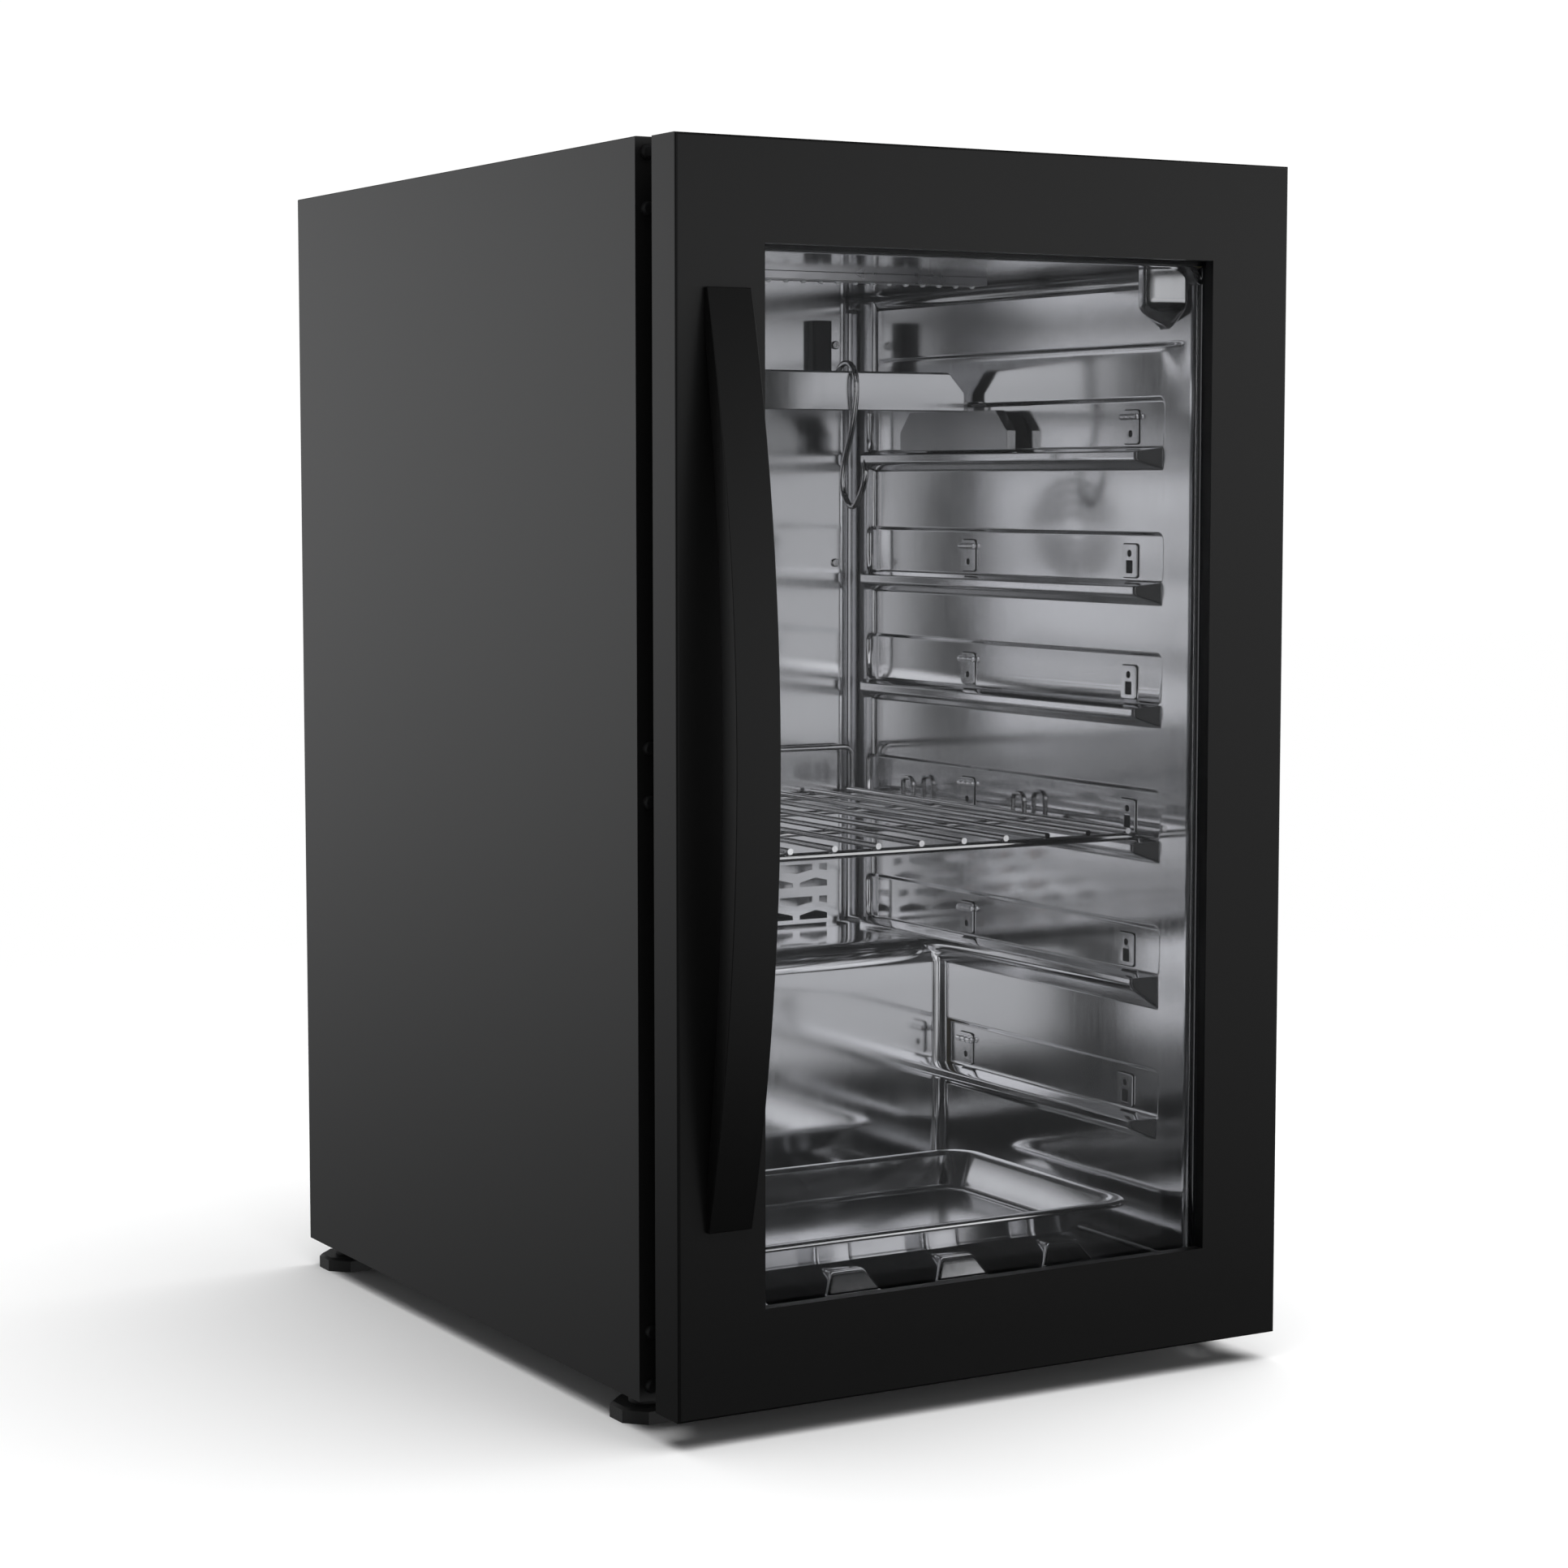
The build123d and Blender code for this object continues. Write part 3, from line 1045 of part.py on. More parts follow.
def main():
    os.makedirs("parts", exist_ok=True)
    right_side = liner_side()
    nodes = {
        "outer_case": outer_case(),
        "base_pan": base_pan(),
        "foot_nuts": foot_nuts(),
        "front_frame": front_frame(),
        "back_panel": back_panel(),
        "compressor_cover": compressor_cover(),
        "rear_screws": rear_screws(),
        "machine_room_wall": room_wall(),
        "foam_insulation": foam_insulation(),
        "hole_plugs": hole_plugs(),
        "liner_side_right": right_side,
        "liner_side_left": mirror(right_side, about=Plane.YZ),
        "liner_wrap": liner_wrap(),
        "duct_strips": duct_strips(),
        "duct_panel": duct_panel(),
        "duct_screws": duct_screws(),
        "sensor_cover": sensor_box(),
        "lamp_housing": led_housing(),
        "lamp_diffuser": led_lens(),
        "hooked_clips": rail_clips(True),
        "slotted_clips": rail_clips(False),
        "evaporator_coil": evaporator_coil(),
        "evaporator_fan_frame": evaporator_fan_frame(),
        "evaporator_fan_rotor": evaporator_fan_rotor(),
        "condenser_coil": condenser_coil(),
        "condenser_fan_frame": condenser_fan_frame(),
        "condenser_fan_rotor": condenser_fan_rotor(),
        "compressor": compressor(),
        "compressor_grommets": compressor_grommets(),
        "compressor_bolts": compressor_bolts(),
        "start_relay": start_relay(),
        "evaporation_pan": evaporation_tray(),
        "drain_tube": drain_tube(),
        "filter_drier": filter_drier(),
        "refrigerant_lines": refrigerant_lines(),
        "control_box": control_box(),
        "power_inlet": power_inlet(),
        "hinge_brackets": hinge_brackets(),
        "hinge_pins": hinge_pins(),
        "hinge_screws": hinge_screws(),
        "door_skin": drilled_door_skin(),
        "door_foam": door_foam(),
        "door_corner_blocks": door_corner_blocks(),
        "hinge_bushes": hinge_bushes(),
        "door_back_frame": door_back_frame(),
        "glass_outer": glass_pane(GLASS_FRONT),
        "glass_inner": glass_pane(GLASS_BACK - PANE),
        "glass_spacer": glass_spacer(),
        "door_gasket": door_gasket(),
        "door_handle": door_handle(),
        "handle_screws": handle_screws(),
        "hanging_bar": hanging_bar(),
        "bar_brackets": group(both_sides(bar_bracket())),
        "s_hook": s_hook(),
        "wire_shelf": wire_shelf(),
        "drip_tray": drip_tray(),
    }
    feet = {"front_left": (-FOOT_X, FOOT_FRONT_Y), "front_right": (FOOT_X, FOOT_FRONT_Y),
            "rear_left": (-FOOT_X, FOOT_REAR_Y), "rear_right": (FOOT_X, FOOT_REAR_Y)}
    for name, (x, y) in feet.items():
        nodes["foot_" + name] = group([foot_pad(x, y), foot_stud(x, y)])
    for name, shape in nodes.items():
        export_step(shape, f"parts/{name}.step")


main()
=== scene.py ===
import bmesh
import bpy
import json
import math
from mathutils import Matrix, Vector


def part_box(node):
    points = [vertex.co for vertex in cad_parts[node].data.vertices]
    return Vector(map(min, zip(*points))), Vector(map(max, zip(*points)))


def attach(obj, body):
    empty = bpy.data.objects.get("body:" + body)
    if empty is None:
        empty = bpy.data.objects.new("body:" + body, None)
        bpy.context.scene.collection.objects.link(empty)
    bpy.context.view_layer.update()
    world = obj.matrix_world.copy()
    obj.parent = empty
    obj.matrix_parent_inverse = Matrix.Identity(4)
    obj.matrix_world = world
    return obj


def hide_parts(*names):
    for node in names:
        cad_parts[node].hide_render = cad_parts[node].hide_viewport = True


# Looks of the glass-door ageing cabinet. Metres, +Z up, the door faces -Y, as in the CAD frame.

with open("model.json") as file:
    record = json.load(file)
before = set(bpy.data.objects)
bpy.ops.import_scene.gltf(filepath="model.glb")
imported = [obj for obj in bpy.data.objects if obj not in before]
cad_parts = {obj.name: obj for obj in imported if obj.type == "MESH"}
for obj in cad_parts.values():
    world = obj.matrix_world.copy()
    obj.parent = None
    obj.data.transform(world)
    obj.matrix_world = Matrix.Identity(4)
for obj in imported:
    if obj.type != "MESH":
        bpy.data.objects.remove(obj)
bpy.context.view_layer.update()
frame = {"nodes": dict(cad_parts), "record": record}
MM = 0.001

# ---- places read from the frame ----
LINER_LOW, LINER_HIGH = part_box("liner_wrap")
TRAY_LOW, TRAY_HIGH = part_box("drip_tray")
GASKET_LOW, GASKET_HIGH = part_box("door_gasket")

# ---- pressed forms of the liner and small fittings, in millimetres ----
LINER_HALF = LINER_HIGH.x / MM
LINER_FLOOR = LINER_LOW.z / MM + 1.0
LINER_TOP = LINER_HIGH.z / MM - 1.0
LINER_FRONT = LINER_LOW.y / MM
LINER_BACK = LINER_HIGH.y / MM - 1.0
STEP_Y = 109.0
STEP_TOP = 265.0
STEP_RADIUS = 20.0
CORNER_RADIUS = 9.0
FLOOR_COVE = 2.5
CEILING_COVE = 13.0
SHEET = 0.8
LEDGE_TOPS = (665.7, 565.6, 474.3, 373.0, 271.2, 163.2)
LEDGE_DROPS = (16.0, 16.0, 16.0, 16.0, 24.0, 16.0)
LEDGE_REACH = 14.0
LEDGE_FRONT = -193.0
LEDGE_REAR = 229.0
LEDGE_PAST_STEP = 30
LEDGE_LIP = 9.5
LEDGE_SLOPES = {"top": 5.0, "front": 0.875, "rear": 1.1}
RECESS_TOPS = (702.4, 602.4, 512.6, 410.6, 308.1, 199.8)
RECESS_HEIGHT = 37.0
RECESS_DEPTH = 3.0
RECESS_REAR = 222.0
RECESS_TAIL = 0.6
RECESS_TAIL_Y = (200.0, 209.0)
RECESS_PAST_STEP = 28
RECESS_CORNER = 6.0
BEAD_Y = 223.75
BEAD_HALF = 11.75
BEAD_REACH = 2.8
BEAD_EDGE = 2.4
RIDGE_TOP = 743.0
RIDGE_REACH = 1.6
RIDGE_END = (190.0, 212.0)
HOOD = {"reach": 25.0, "front": -220.0, "rear": -187.0, "bottom": 753.0, "clip": 16, "clip_slope": 0.8}
HOOD_SLOPES = {"rise": 1.9, "front": 1.6, "rear": 4.0}
HOOD_BLEND = 8.0
CLIP_FRONT_Y = -149.5
CLIP_REAR_Y = 72.5
CLIP_RISE = 16.0
CLIP_HALF = (9.5, 12.5)
CLIP_THICKNESS = 1.3
# how far the black pads, painted shade round the clips, reach past each clip
SHADE_PAD_MARGIN = 0.7
ROLLER_PITCH = 7.2
RIB_CENTRES = (-140.25, -46.75, 46.75, 140.25)
RIB_HALF_BASE = 23.0
RIB_HALF_CREST = 14.0
RIB_HEIGHT = 15.0
RIB_FRONT = -191.0
RIB_REAR = 96.0
RIB_END_SLOPE = 9.0
RIB_FLANK = (RIB_HALF_BASE + RIB_HALF_CREST) / 2
TRAY_SHEET = 0.75
TRAY_CORNER = 26
TRAY_TAPER = 0.27
LAMP_DOMES = 21
LAMP_END_MARGIN = 12

# ---- how CAD edges are shown ----
WELD_DISTANCE = 1e-5
FLAT_ANGLE = 0.5
SPLIT_ANGLE = 32
WIRE_SPLIT_ANGLE = 60
PIECE_SPLIT_ANGLE = 50

# ---- view and stage, in metres and degrees ----
# heights over which the paints' painted sheen rises from low to high
PAINTED_SHEEN_HEIGHTS = (0.05, 0.8)
CAMERA_PLACE = (-1.2916, -2.2464, 0.6402)
CAMERA_PITCH = 5.05
CAMERA_YAW = 30.0
CAMERA_LENS = 78.33
FLOOR_HALF = 9.0
FLOOR_FADE = (0.7, 2.4)
BACKDROP_LEVEL = 1.05


# ---------------------------------------------------------------- materials

def new_material(name):
    """An empty node material, with its tree, principled shader and object coordinates."""
    mat = bpy.data.materials.new(name)
    mat.use_nodes = True
    tree = mat.node_tree
    shader = tree.nodes["Principled BSDF"]
    coords = tree.nodes.new("ShaderNodeTexCoord")
    return mat, tree, shader, coords


def noise(tree, coords, scale, detail=3.0, stretch=(1, 1, 1)):
    """A noise texture in object space, stretched along the axes."""
    mapping = tree.nodes.new("ShaderNodeMapping")
    mapping.inputs["Scale"].default_value = stretch
    texture = tree.nodes.new("ShaderNodeTexNoise")
    texture.inputs["Scale"].default_value = scale
    texture.inputs["Detail"].default_value = detail
    tree.links.new(coords.outputs["Object"], mapping.inputs["Vector"])
    tree.links.new(mapping.outputs["Vector"], texture.inputs["Vector"])
    return texture.outputs["Fac"]


def ramp(tree, value, low, high, start=0.3, end=0.7):
    """Maps a value between start and end to a range from low to high."""
    node = tree.nodes.new("ShaderNodeMapRange")
    node.inputs["From Min"].default_value = start
    node.inputs["From Max"].default_value = end
    node.inputs["To Min"].default_value = low
    node.inputs["To Max"].default_value = high
    tree.links.new(value, node.inputs["Value"])
    return node.outputs["Result"]


def tint(tree, shader, value, dark, light):
    """Base colour that varies between two colours."""
    mix = tree.nodes.new("ShaderNodeMix")
    mix.data_type = "RGBA"
    mix.inputs["A"].default_value = (*dark, 1)
    mix.inputs["B"].default_value = (*light, 1)
    tree.links.new(value, mix.inputs["Factor"])
    tree.links.new(mix.outputs["Result"], shader.inputs["Base Color"])


def bump(tree, shader, value, strength, distance):
    """Surface relief from a value."""
    node = tree.nodes.new("ShaderNodeBump")
    node.inputs["Strength"].default_value = strength
    node.inputs["Distance"].default_value = distance
    tree.links.new(value, node.inputs["Height"])
    tree.links.new(node.outputs["Normal"], shader.inputs["Normal"])


def math_node(tree, operation, first, second):
    """A math node on two values or sockets."""
    node = tree.nodes.new("ShaderNodeMath")
    node.operation = operation
    for socket, value in zip(node.inputs, (first, second)):
        if isinstance(value, (int, float)):
            socket.default_value = value
        else:
            tree.links.new(value, socket)
    return node.outputs["Value"]


def powder_coat(name, level, rough, painted_sheen=(0.5, 0.5)):
    """Fine satin powder coat with faint orange peel; its specular level runs from a low value at the bottom
    up to a high one at the top, a painted sheen that lightens the upper part.
    """
    mat, tree, shader, coords = new_material(name)
    # painted sheen: the specular level rises with height, so the upper part looks more lit
    apart = tree.nodes.new("ShaderNodeSeparateXYZ")
    tree.links.new(coords.outputs["Object"], apart.inputs["Vector"])
    painted_shine = ramp(tree, apart.outputs["Z"], *painted_sheen, *PAINTED_SHEEN_HEIGHTS)
    tree.links.new(painted_shine, shader.inputs["Specular IOR Level"])
    drift = noise(tree, coords, 7.0, 2.0)
    grain = noise(tree, coords, 1600.0, 4.0)
    tint(tree, shader, drift, [level * 0.92] * 3, [level * 1.08] * 3)
    tree.links.new(ramp(tree, grain, rough - 0.04, rough + 0.04), shader.inputs["Roughness"])
    bump(tree, shader, grain, 0.12, 0.00012)
    return mat


def satin_steel(name, level, rough, spread=0.03):
    """Satin-bright stainless sheet, with soft handling smears and a faint rolled grain."""
    mat, tree, shader, coords = new_material(name)
    shader.inputs["Metallic"].default_value = 1.0
    smears = noise(tree, coords, 9.0, 4.0)
    grain = noise(tree, coords, 220.0, 3.0, (1, 1, 0.12))
    dull, bright = (0.95, 0.952, 0.966), (1.0, 1.002, 1.016)
    tint(tree, shader, smears, [level * c for c in dull], [level * c for c in bright])
    uneven = ramp(tree, smears, rough - spread, rough + spread)
    tree.links.new(math_node(tree, "ADD", uneven, ramp(tree, grain, -0.01, 0.02)), shader.inputs["Roughness"])
    bump(tree, shader, smears, 0.06, 0.0006)
    return mat


def polished_steel(name, level, rough):
    """Electropolished wire or fastener steel, with tiny tool marks."""
    mat, tree, shader, coords = new_material(name)
    shader.inputs["Metallic"].default_value = 1.0
    marks = noise(tree, coords, 240.0, 3.0)
    tint(tree, shader, marks, [level * 0.9] * 3, [level, level, level * 1.02])
    tree.links.new(ramp(tree, marks, rough * 0.7, rough * 1.5), shader.inputs["Roughness"])
    bump(tree, shader, marks, 0.04, 0.00005)
    return mat


def moulded_plastic(name, colour, rough, grain_scale=900.0):
    """Moulded plastic or rubber with a fine spark-eroded grain."""
    mat, tree, shader, coords = new_material(name)
    grain = noise(tree, coords, grain_scale, 3.0)
    drift = noise(tree, coords, 12.0, 2.0)
    tint(tree, shader, drift, [c * 0.85 for c in colour], [c * 1.12 for c in colour])
    tree.links.new(ramp(tree, grain, rough - 0.08, rough + 0.08), shader.inputs["Roughness"])
    bump(tree, shader, grain, 0.2, 0.0001)
    return mat


def drawn_metal(name, colour, rough):
    """Drawn tube or fin stock with oxide mottling."""
    mat, tree, shader, coords = new_material(name)
    shader.inputs["Metallic"].default_value = 1.0
    mottle = noise(tree, coords, 60.0, 5.0)
    tint(tree, shader, mottle, [c * 0.72 for c in colour], colour)
    tree.links.new(ramp(tree, mottle, rough - 0.08, rough + 0.12), shader.inputs["Roughness"])
    bump(tree, shader, mottle, 0.08, 0.0001)
    return mat


def clear_glass(name):
    """Thin coated float glass: see-through, with a reflection on its outward faces only."""
    mat, tree, shader, coords = new_material(name)
    tree.nodes.remove(shader)
    out = tree.nodes["Material Output"]
    clear = tree.nodes.new("ShaderNodeBsdfTransparent")
    gloss = tree.nodes.new("ShaderNodeBsdfGlossy")
    fresnel = tree.nodes.new("ShaderNodeFresnel")
    geometry = tree.nodes.new("ShaderNodeNewGeometry")
    outward = tree.nodes.new("ShaderNodeMath")
    factor = tree.nodes.new("ShaderNodeMath")
    mix = tree.nodes.new("ShaderNodeMixShader")
    haze = noise(tree, coords, 14.0, 3.0)
    fresnel.inputs["IOR"].default_value = 1.45
    clear.inputs["Color"].default_value = (0.99, 0.991, 0.993, 1)
    gloss.inputs["Color"].default_value = (0.9, 0.92, 0.95, 1)
    tree.links.new(ramp(tree, haze, 0.0, 0.02), gloss.inputs["Roughness"])
    outward.operation = "SUBTRACT"
    outward.inputs[0].default_value = 1.0
    factor.operation = "MULTIPLY"
    weak = math_node(tree, "MULTIPLY", fresnel.outputs["Fac"], 0.3)
    tree.links.new(geometry.outputs["Backfacing"], outward.inputs[1])
    tree.links.new(weak, factor.inputs[0])
    tree.links.new(outward.outputs["Value"], factor.inputs[1])
    tree.links.new(factor.outputs["Value"], mix.inputs["Fac"])
    tree.links.new(clear.outputs["BSDF"], mix.inputs[1])
    tree.links.new(gloss.outputs["BSDF"], mix.inputs[2])
    tree.links.new(mix.outputs["Shader"], out.inputs["Surface"])
    return mat


MATERIALS = {
    # the case and door paints carry a painted sheen, stronger towards the top
    "case_paint": powder_coat("case_paint", 0.005, 0.36, (0.42, 0.5)),
    "door_paint": powder_coat("door_paint", 0.003, 0.36, (0.12, 0.38)),
    "galvanised_steel": satin_steel("galvanised_steel", 0.5, 0.4),
    "black_plastic": moulded_plastic("black_plastic", (0.004, 0.004, 0.0042), 0.5),
    "foot_plastic": moulded_plastic("foot_plastic", (0.02, 0.02, 0.02), 0.45),
    "foam": moulded_plastic("foam", (0.78, 0.70, 0.48), 0.9, 300.0),
    "liner_steel": satin_steel("liner_steel", 0.9, 0.11, 0.02),
    "duct_steel": satin_steel("duct_steel", 0.86, 0.13, 0.02),
    "bright_steel": satin_steel("bright_steel", 0.88, 0.14),
    "bracket_steel": satin_steel("bracket_steel", 0.46, 0.2),
    "polished_wire": polished_steel("polished_wire", 0.72, 0.09),
    "screw_steel": polished_steel("screw_steel", 0.66, 0.2),
    "lamp_channel": drawn_metal("lamp_channel", (0.6, 0.6, 0.62), 0.3),
    "lamp_lens": moulded_plastic("lamp_lens", (0.55, 0.56, 0.58), 0.35, 500.0),
    "glass_clear": clear_glass("glass_clear"),
    "spacer_black": moulded_plastic("spacer_black", (0.006, 0.006, 0.006), 0.4),
    "gasket_rubber": moulded_plastic("gasket_rubber", (0.003, 0.003, 0.003), 0.65),
    "bush_nylon": moulded_plastic("bush_nylon", (0.75, 0.75, 0.7), 0.4),
    "coil_aluminium": drawn_metal("coil_aluminium", (0.7, 0.71, 0.73), 0.35),
    "compressor_enamel": powder_coat("compressor_enamel", 0.02, 0.25),
    "copper_tube": drawn_metal("copper_tube", (0.75, 0.42, 0.28), 0.3),
}


def use_slot_material(piece, slot):
    """Gives a piece the named material as its only one."""
    piece.data.materials.clear()
    piece.data.materials.append(MATERIALS[slot])


# ---------------------------------------------------------------- pieces

def finish_piece(name, mesh, slot, body, *nodes):
    """Puts a mesh in the scene on its body, in place of the CAD nodes that it stands for."""
    piece = bpy.data.objects.new(name, mesh)
    bpy.context.scene.collection.objects.link(piece)
    use_slot_material(piece, slot)
    for face in mesh.polygons:
        face.use_smooth = True
    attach(piece, body)
    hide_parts(*nodes)
    return piece


def soft_edges(node, width, angle=30.0, segments=2):
    """Rounds the edges of a CAD node on screen, without changing its mesh."""
    weld = node.modifiers.new("weld", "WELD")
    weld.merge_threshold = WELD_DISTANCE
    flat = node.modifiers.new("flat", "DECIMATE")
    flat.decimate_type = "DISSOLVE"
    flat.angle_limit = math.radians(FLAT_ANGLE)
    bevel = node.modifiers.new("bevel", "BEVEL")
    bevel.width = width
    bevel.segments = segments
    bevel.limit_method = "ANGLE"
    bevel.angle_limit = math.radians(angle)
    weighted = node.modifiers.new("weighted", "WEIGHTED_NORMAL")
    weighted.keep_sharp = False


def shell_mesh(name, rows, thickness):
    """A closed thin sheet over a grid of points, thickened along its normals."""
    mesh = bpy.data.meshes.new(name)
    columns = len(rows[0])
    verts = [point for row in rows for point in row]
    faces = []
    for i in range(len(rows) - 1):
        for j in range(columns - 1):
            a = i * columns + j
            faces.append((a, a + 1, a + columns + 1, a + columns))
    mesh.from_pydata(verts, [], faces)
    work = bmesh.new()
    work.from_mesh(mesh)
    work.normal_update()
    front = list(work.verts)
    back = [work.verts.new(v.co - v.normal * thickness) for v in front]
    work.verts.index_update()
    for face in list(work.faces):
        work.faces.new([back[v.index] for v in reversed(face.verts)])
    for edge in [e for e in work.edges if e.is_boundary and e.verts[0].index < len(front)
                 and e.verts[1].index < len(front)]:
        loop = edge.link_loops[0]
        a, b = loop.vert, loop.link_loop_next.vert
        work.faces.new((b, a, back[a.index], back[b.index]))
    work.to_mesh(mesh)
    work.free()
    return mesh


def spaced(start, end, step):
    """Evenly spaced values from start to end, no further apart than step."""
    count = max(1, math.ceil((end - start) / step))
    return [start + (end - start) * i / count for i in range(count + 1)]


def grid_lines(start, end, coarse, details):
    """Grid lines from start to end: coarse everywhere, and finer in each (low, high, step) range."""
    lines = set(round(v, 3) for v in spaced(start, end, coarse))
    for low, high, step in details:
        low, high = max(low, start), min(high, end)
        if low < high:
            lines = {v for v in lines if v <= low or v >= high}
            lines |= set(round(v, 3) for v in spaced(low, high, step))
    lines = sorted(lines | {start, end})
    kept = [lines[0]]
    for value in lines[1:]:
        if value - kept[-1] > 0.2:
            kept.append(value)
    return kept


def smooth_step(value, start, end):
    """0 before start, 1 after end, and a soft curve between."""
    t = min(1.0, max(0.0, (value - start) / (end - start)))
    return t * t * (3 - 2 * t)


def soft_min(a, b, blend):
    """The smaller of two values, with a rounded corner where they cross."""
    h = max(blend - abs(a - b), 0.0) / blend
    return min(a, b) - h * h * blend / 4


def rounded_box_distance(y, z, low, high, radius):
    """Distance inside (positive) or outside (negative) a rounded rectangle."""
    dy = max(low[0] + radius - y, y - high[0] + radius)
    dz = max(low[1] + radius - z, z - high[1] + radius)
    outside = math.hypot(max(dy, 0.0), max(dz, 0.0))
    return radius - outside - min(max(dy, dz), 0.0)


def ledge_height(y, z, top, drop):
    """How far a ledge stands out of the wall at a point."""
    rear = LEDGE_REAR if top > STEP_TOP else STEP_Y + LEDGE_PAST_STEP
    under = z - (top - drop)
    below = under * LEDGE_REACH / (drop - LEDGE_LIP)
    above = (top + 0.4 - z) * LEDGE_SLOPES["top"]
    front = (y - LEDGE_FRONT) * LEDGE_SLOPES["front"]
    behind = (rear - y) * LEDGE_SLOPES["rear"]
    height = soft_min(soft_min(above, below, 3.0), LEDGE_REACH, 3.5)
    height = soft_min(soft_min(height, front, 1.6), behind, 3.0)
    return max(height, 0.0)


def hood_height(y, z):
    """How far the corner hood stands out of the wall at a point."""
    up, along = z - HOOD["bottom"], y - HOOD["front"]
    rise = up * HOOD_SLOPES["rise"]
    clipped = (up + HOOD["clip_slope"] * along - HOOD["clip"]) * HOOD_SLOPES["rise"]
    front = along * HOOD_SLOPES["front"]
    rear = (HOOD["rear"] - y) * HOOD_SLOPES["rear"]
    ends = soft_min(front, rear, HOOD_BLEND)
    height = soft_min(soft_min(rise, clipped, HOOD_BLEND), ends, HOOD_BLEND)
    return max(soft_min(height, HOOD["reach"], 7.0), 0.0)


def ridge_height(y, z):
    """A long soft ridge above the top recess, crisp above and faded out below."""
    below = RIDGE_TOP - z
    across = smooth_step(below, 0.0, 3.0) * (1 - smooth_step(below, 5.0, 26.0))
    along = smooth_step(y, LEDGE_FRONT - 30, LEDGE_FRONT + 4) * (1 - smooth_step(y, *RIDGE_END))
    return RIDGE_REACH * across * along


def wall_height(y, z):
    """The pressed relief of a side wall: positive into the cabinet, negative into the insulation."""
    height = ridge_height(y, z)
    if z > STEP_TOP:
        height += BEAD_REACH * smooth_step(BEAD_HALF - abs(y - BEAD_Y), 0.0, BEAD_EDGE)
    for top, drop, recess_top in zip(LEDGE_TOPS, LEDGE_DROPS, RECESS_TOPS):
        if recess_top - RECESS_HEIGHT - 30 < z < recess_top + 4:
            upper = top > STEP_TOP
            rear = RECESS_REAR if upper else STEP_Y + RECESS_PAST_STEP
            corner = (LEDGE_FRONT, recess_top - RECESS_HEIGHT)
            inside = rounded_box_distance(y, z, corner, (rear, recess_top), RECESS_CORNER)
            tail = smooth_step(y, *RECESS_TAIL_Y) * upper
            depth = RECESS_DEPTH + (RECESS_TAIL - RECESS_DEPTH) * tail
            height -= (height + depth) * smooth_step(inside, -1.2, 2.0)
            ledge = ledge_height(y, z, top, drop)
            height = max(height, ledge) if ledge > 0.01 else height
    return height + hood_height(y, z)


def liner_side(side):
    """The pressed side wall of the liner, on the right for 1 and on the left for -1."""
    ys = grid_lines(LINER_FRONT, LINER_BACK, 14.0, [
        (LEDGE_FRONT - 3, LEDGE_FRONT + 20, 0.8), (BEAD_Y - BEAD_HALF - 4, BEAD_Y + BEAD_HALF + 3, 0.6),
        (HOOD["front"] - 2, LEDGE_FRONT - 3, 1.0), (STEP_Y - 2, STEP_Y + 6, 2.0)])
    details = [(RIDGE_TOP - 7, LINER_TOP, 1.2)]
    for top, drop, recess_top in zip(LEDGE_TOPS, LEDGE_DROPS, RECESS_TOPS):
        details.append((top - drop - 2, top - 3.5, 0.9))
        details.append((top - 3.5, top + 2.5, 0.3))
        details.append((recess_top - 8, recess_top + 2, 0.8))
    zs = grid_lines(LINER_FLOOR, LINER_TOP, 12.0, details)
    rows = []
    for z in zs:
        row = [Vector((side * (LINER_HALF - wall_height(y, z)), y, z)) * MM for y in ys]
        rows.append(row if side < 0 else row[::-1])
    name = "liner_wall_right" if side > 0 else "liner_wall_left"
    node = "liner_side_right" if side > 0 else "liner_side_left"
    mesh = shell_mesh(name, rows, SHEET * MM)
    return finish_piece(name, mesh, "liner_steel", "cabinet", node)


def wrap_profile():
    """Points of the liner's floor, step, back and ceiling as (y, z, inward normal y, inward normal z)."""
    points = []

    def straight(start, end, normal, step):
        count = max(1, math.ceil(math.dist(start, end) / step))
        for i in range(count + 1):
            t = i / count
            points.append((start[0] + (end[0] - start[0]) * t, start[1] + (end[1] - start[1]) * t, *normal))

    def arc(centre, radius, start, end, inward):
        for i in range(1, 8):
            angle = math.radians(start + (end - start) * i / 8)
            c, s = math.cos(angle), math.sin(angle)
            points.append((centre[0] + radius * c, centre[1] + radius * s, inward * c, inward * s))

    r = CORNER_RADIUS
    straight((LINER_FRONT, LINER_FLOOR), (RIB_FRONT - 4, LINER_FLOOR), (0, 1), 14)
    straight((RIB_FRONT - 3, LINER_FLOOR), (RIB_FRONT + 16, LINER_FLOOR), (0, 1), 0.8)
    straight((RIB_FRONT + 17, LINER_FLOOR), (RIB_REAR - 17, LINER_FLOOR), (0, 1), 20)
    straight((RIB_REAR - 16, LINER_FLOOR), (STEP_Y - r, LINER_FLOOR), (0, 1), 1.2)
    arc((STEP_Y - r, LINER_FLOOR + r), r, 270, 360, -1)
    straight((STEP_Y, LINER_FLOOR + r), (STEP_Y, STEP_TOP - STEP_RADIUS), (-1, 0), 20)
    arc((STEP_Y + STEP_RADIUS, STEP_TOP - STEP_RADIUS), STEP_RADIUS, 180, 90, 1)
    straight((STEP_Y + STEP_RADIUS, STEP_TOP), (LINER_BACK - r, STEP_TOP), (0, 1), 20)
    arc((LINER_BACK - r, STEP_TOP + r), r, 270, 360, -1)
    straight((LINER_BACK, STEP_TOP + r), (LINER_BACK, LINER_TOP - r), (-1, 0), 40)
    arc((LINER_BACK - r, LINER_TOP - r), r, 0, 90, -1)
    straight((LINER_BACK - r, LINER_TOP), (LINER_FRONT, LINER_TOP), (0, -1), 20)
    return points


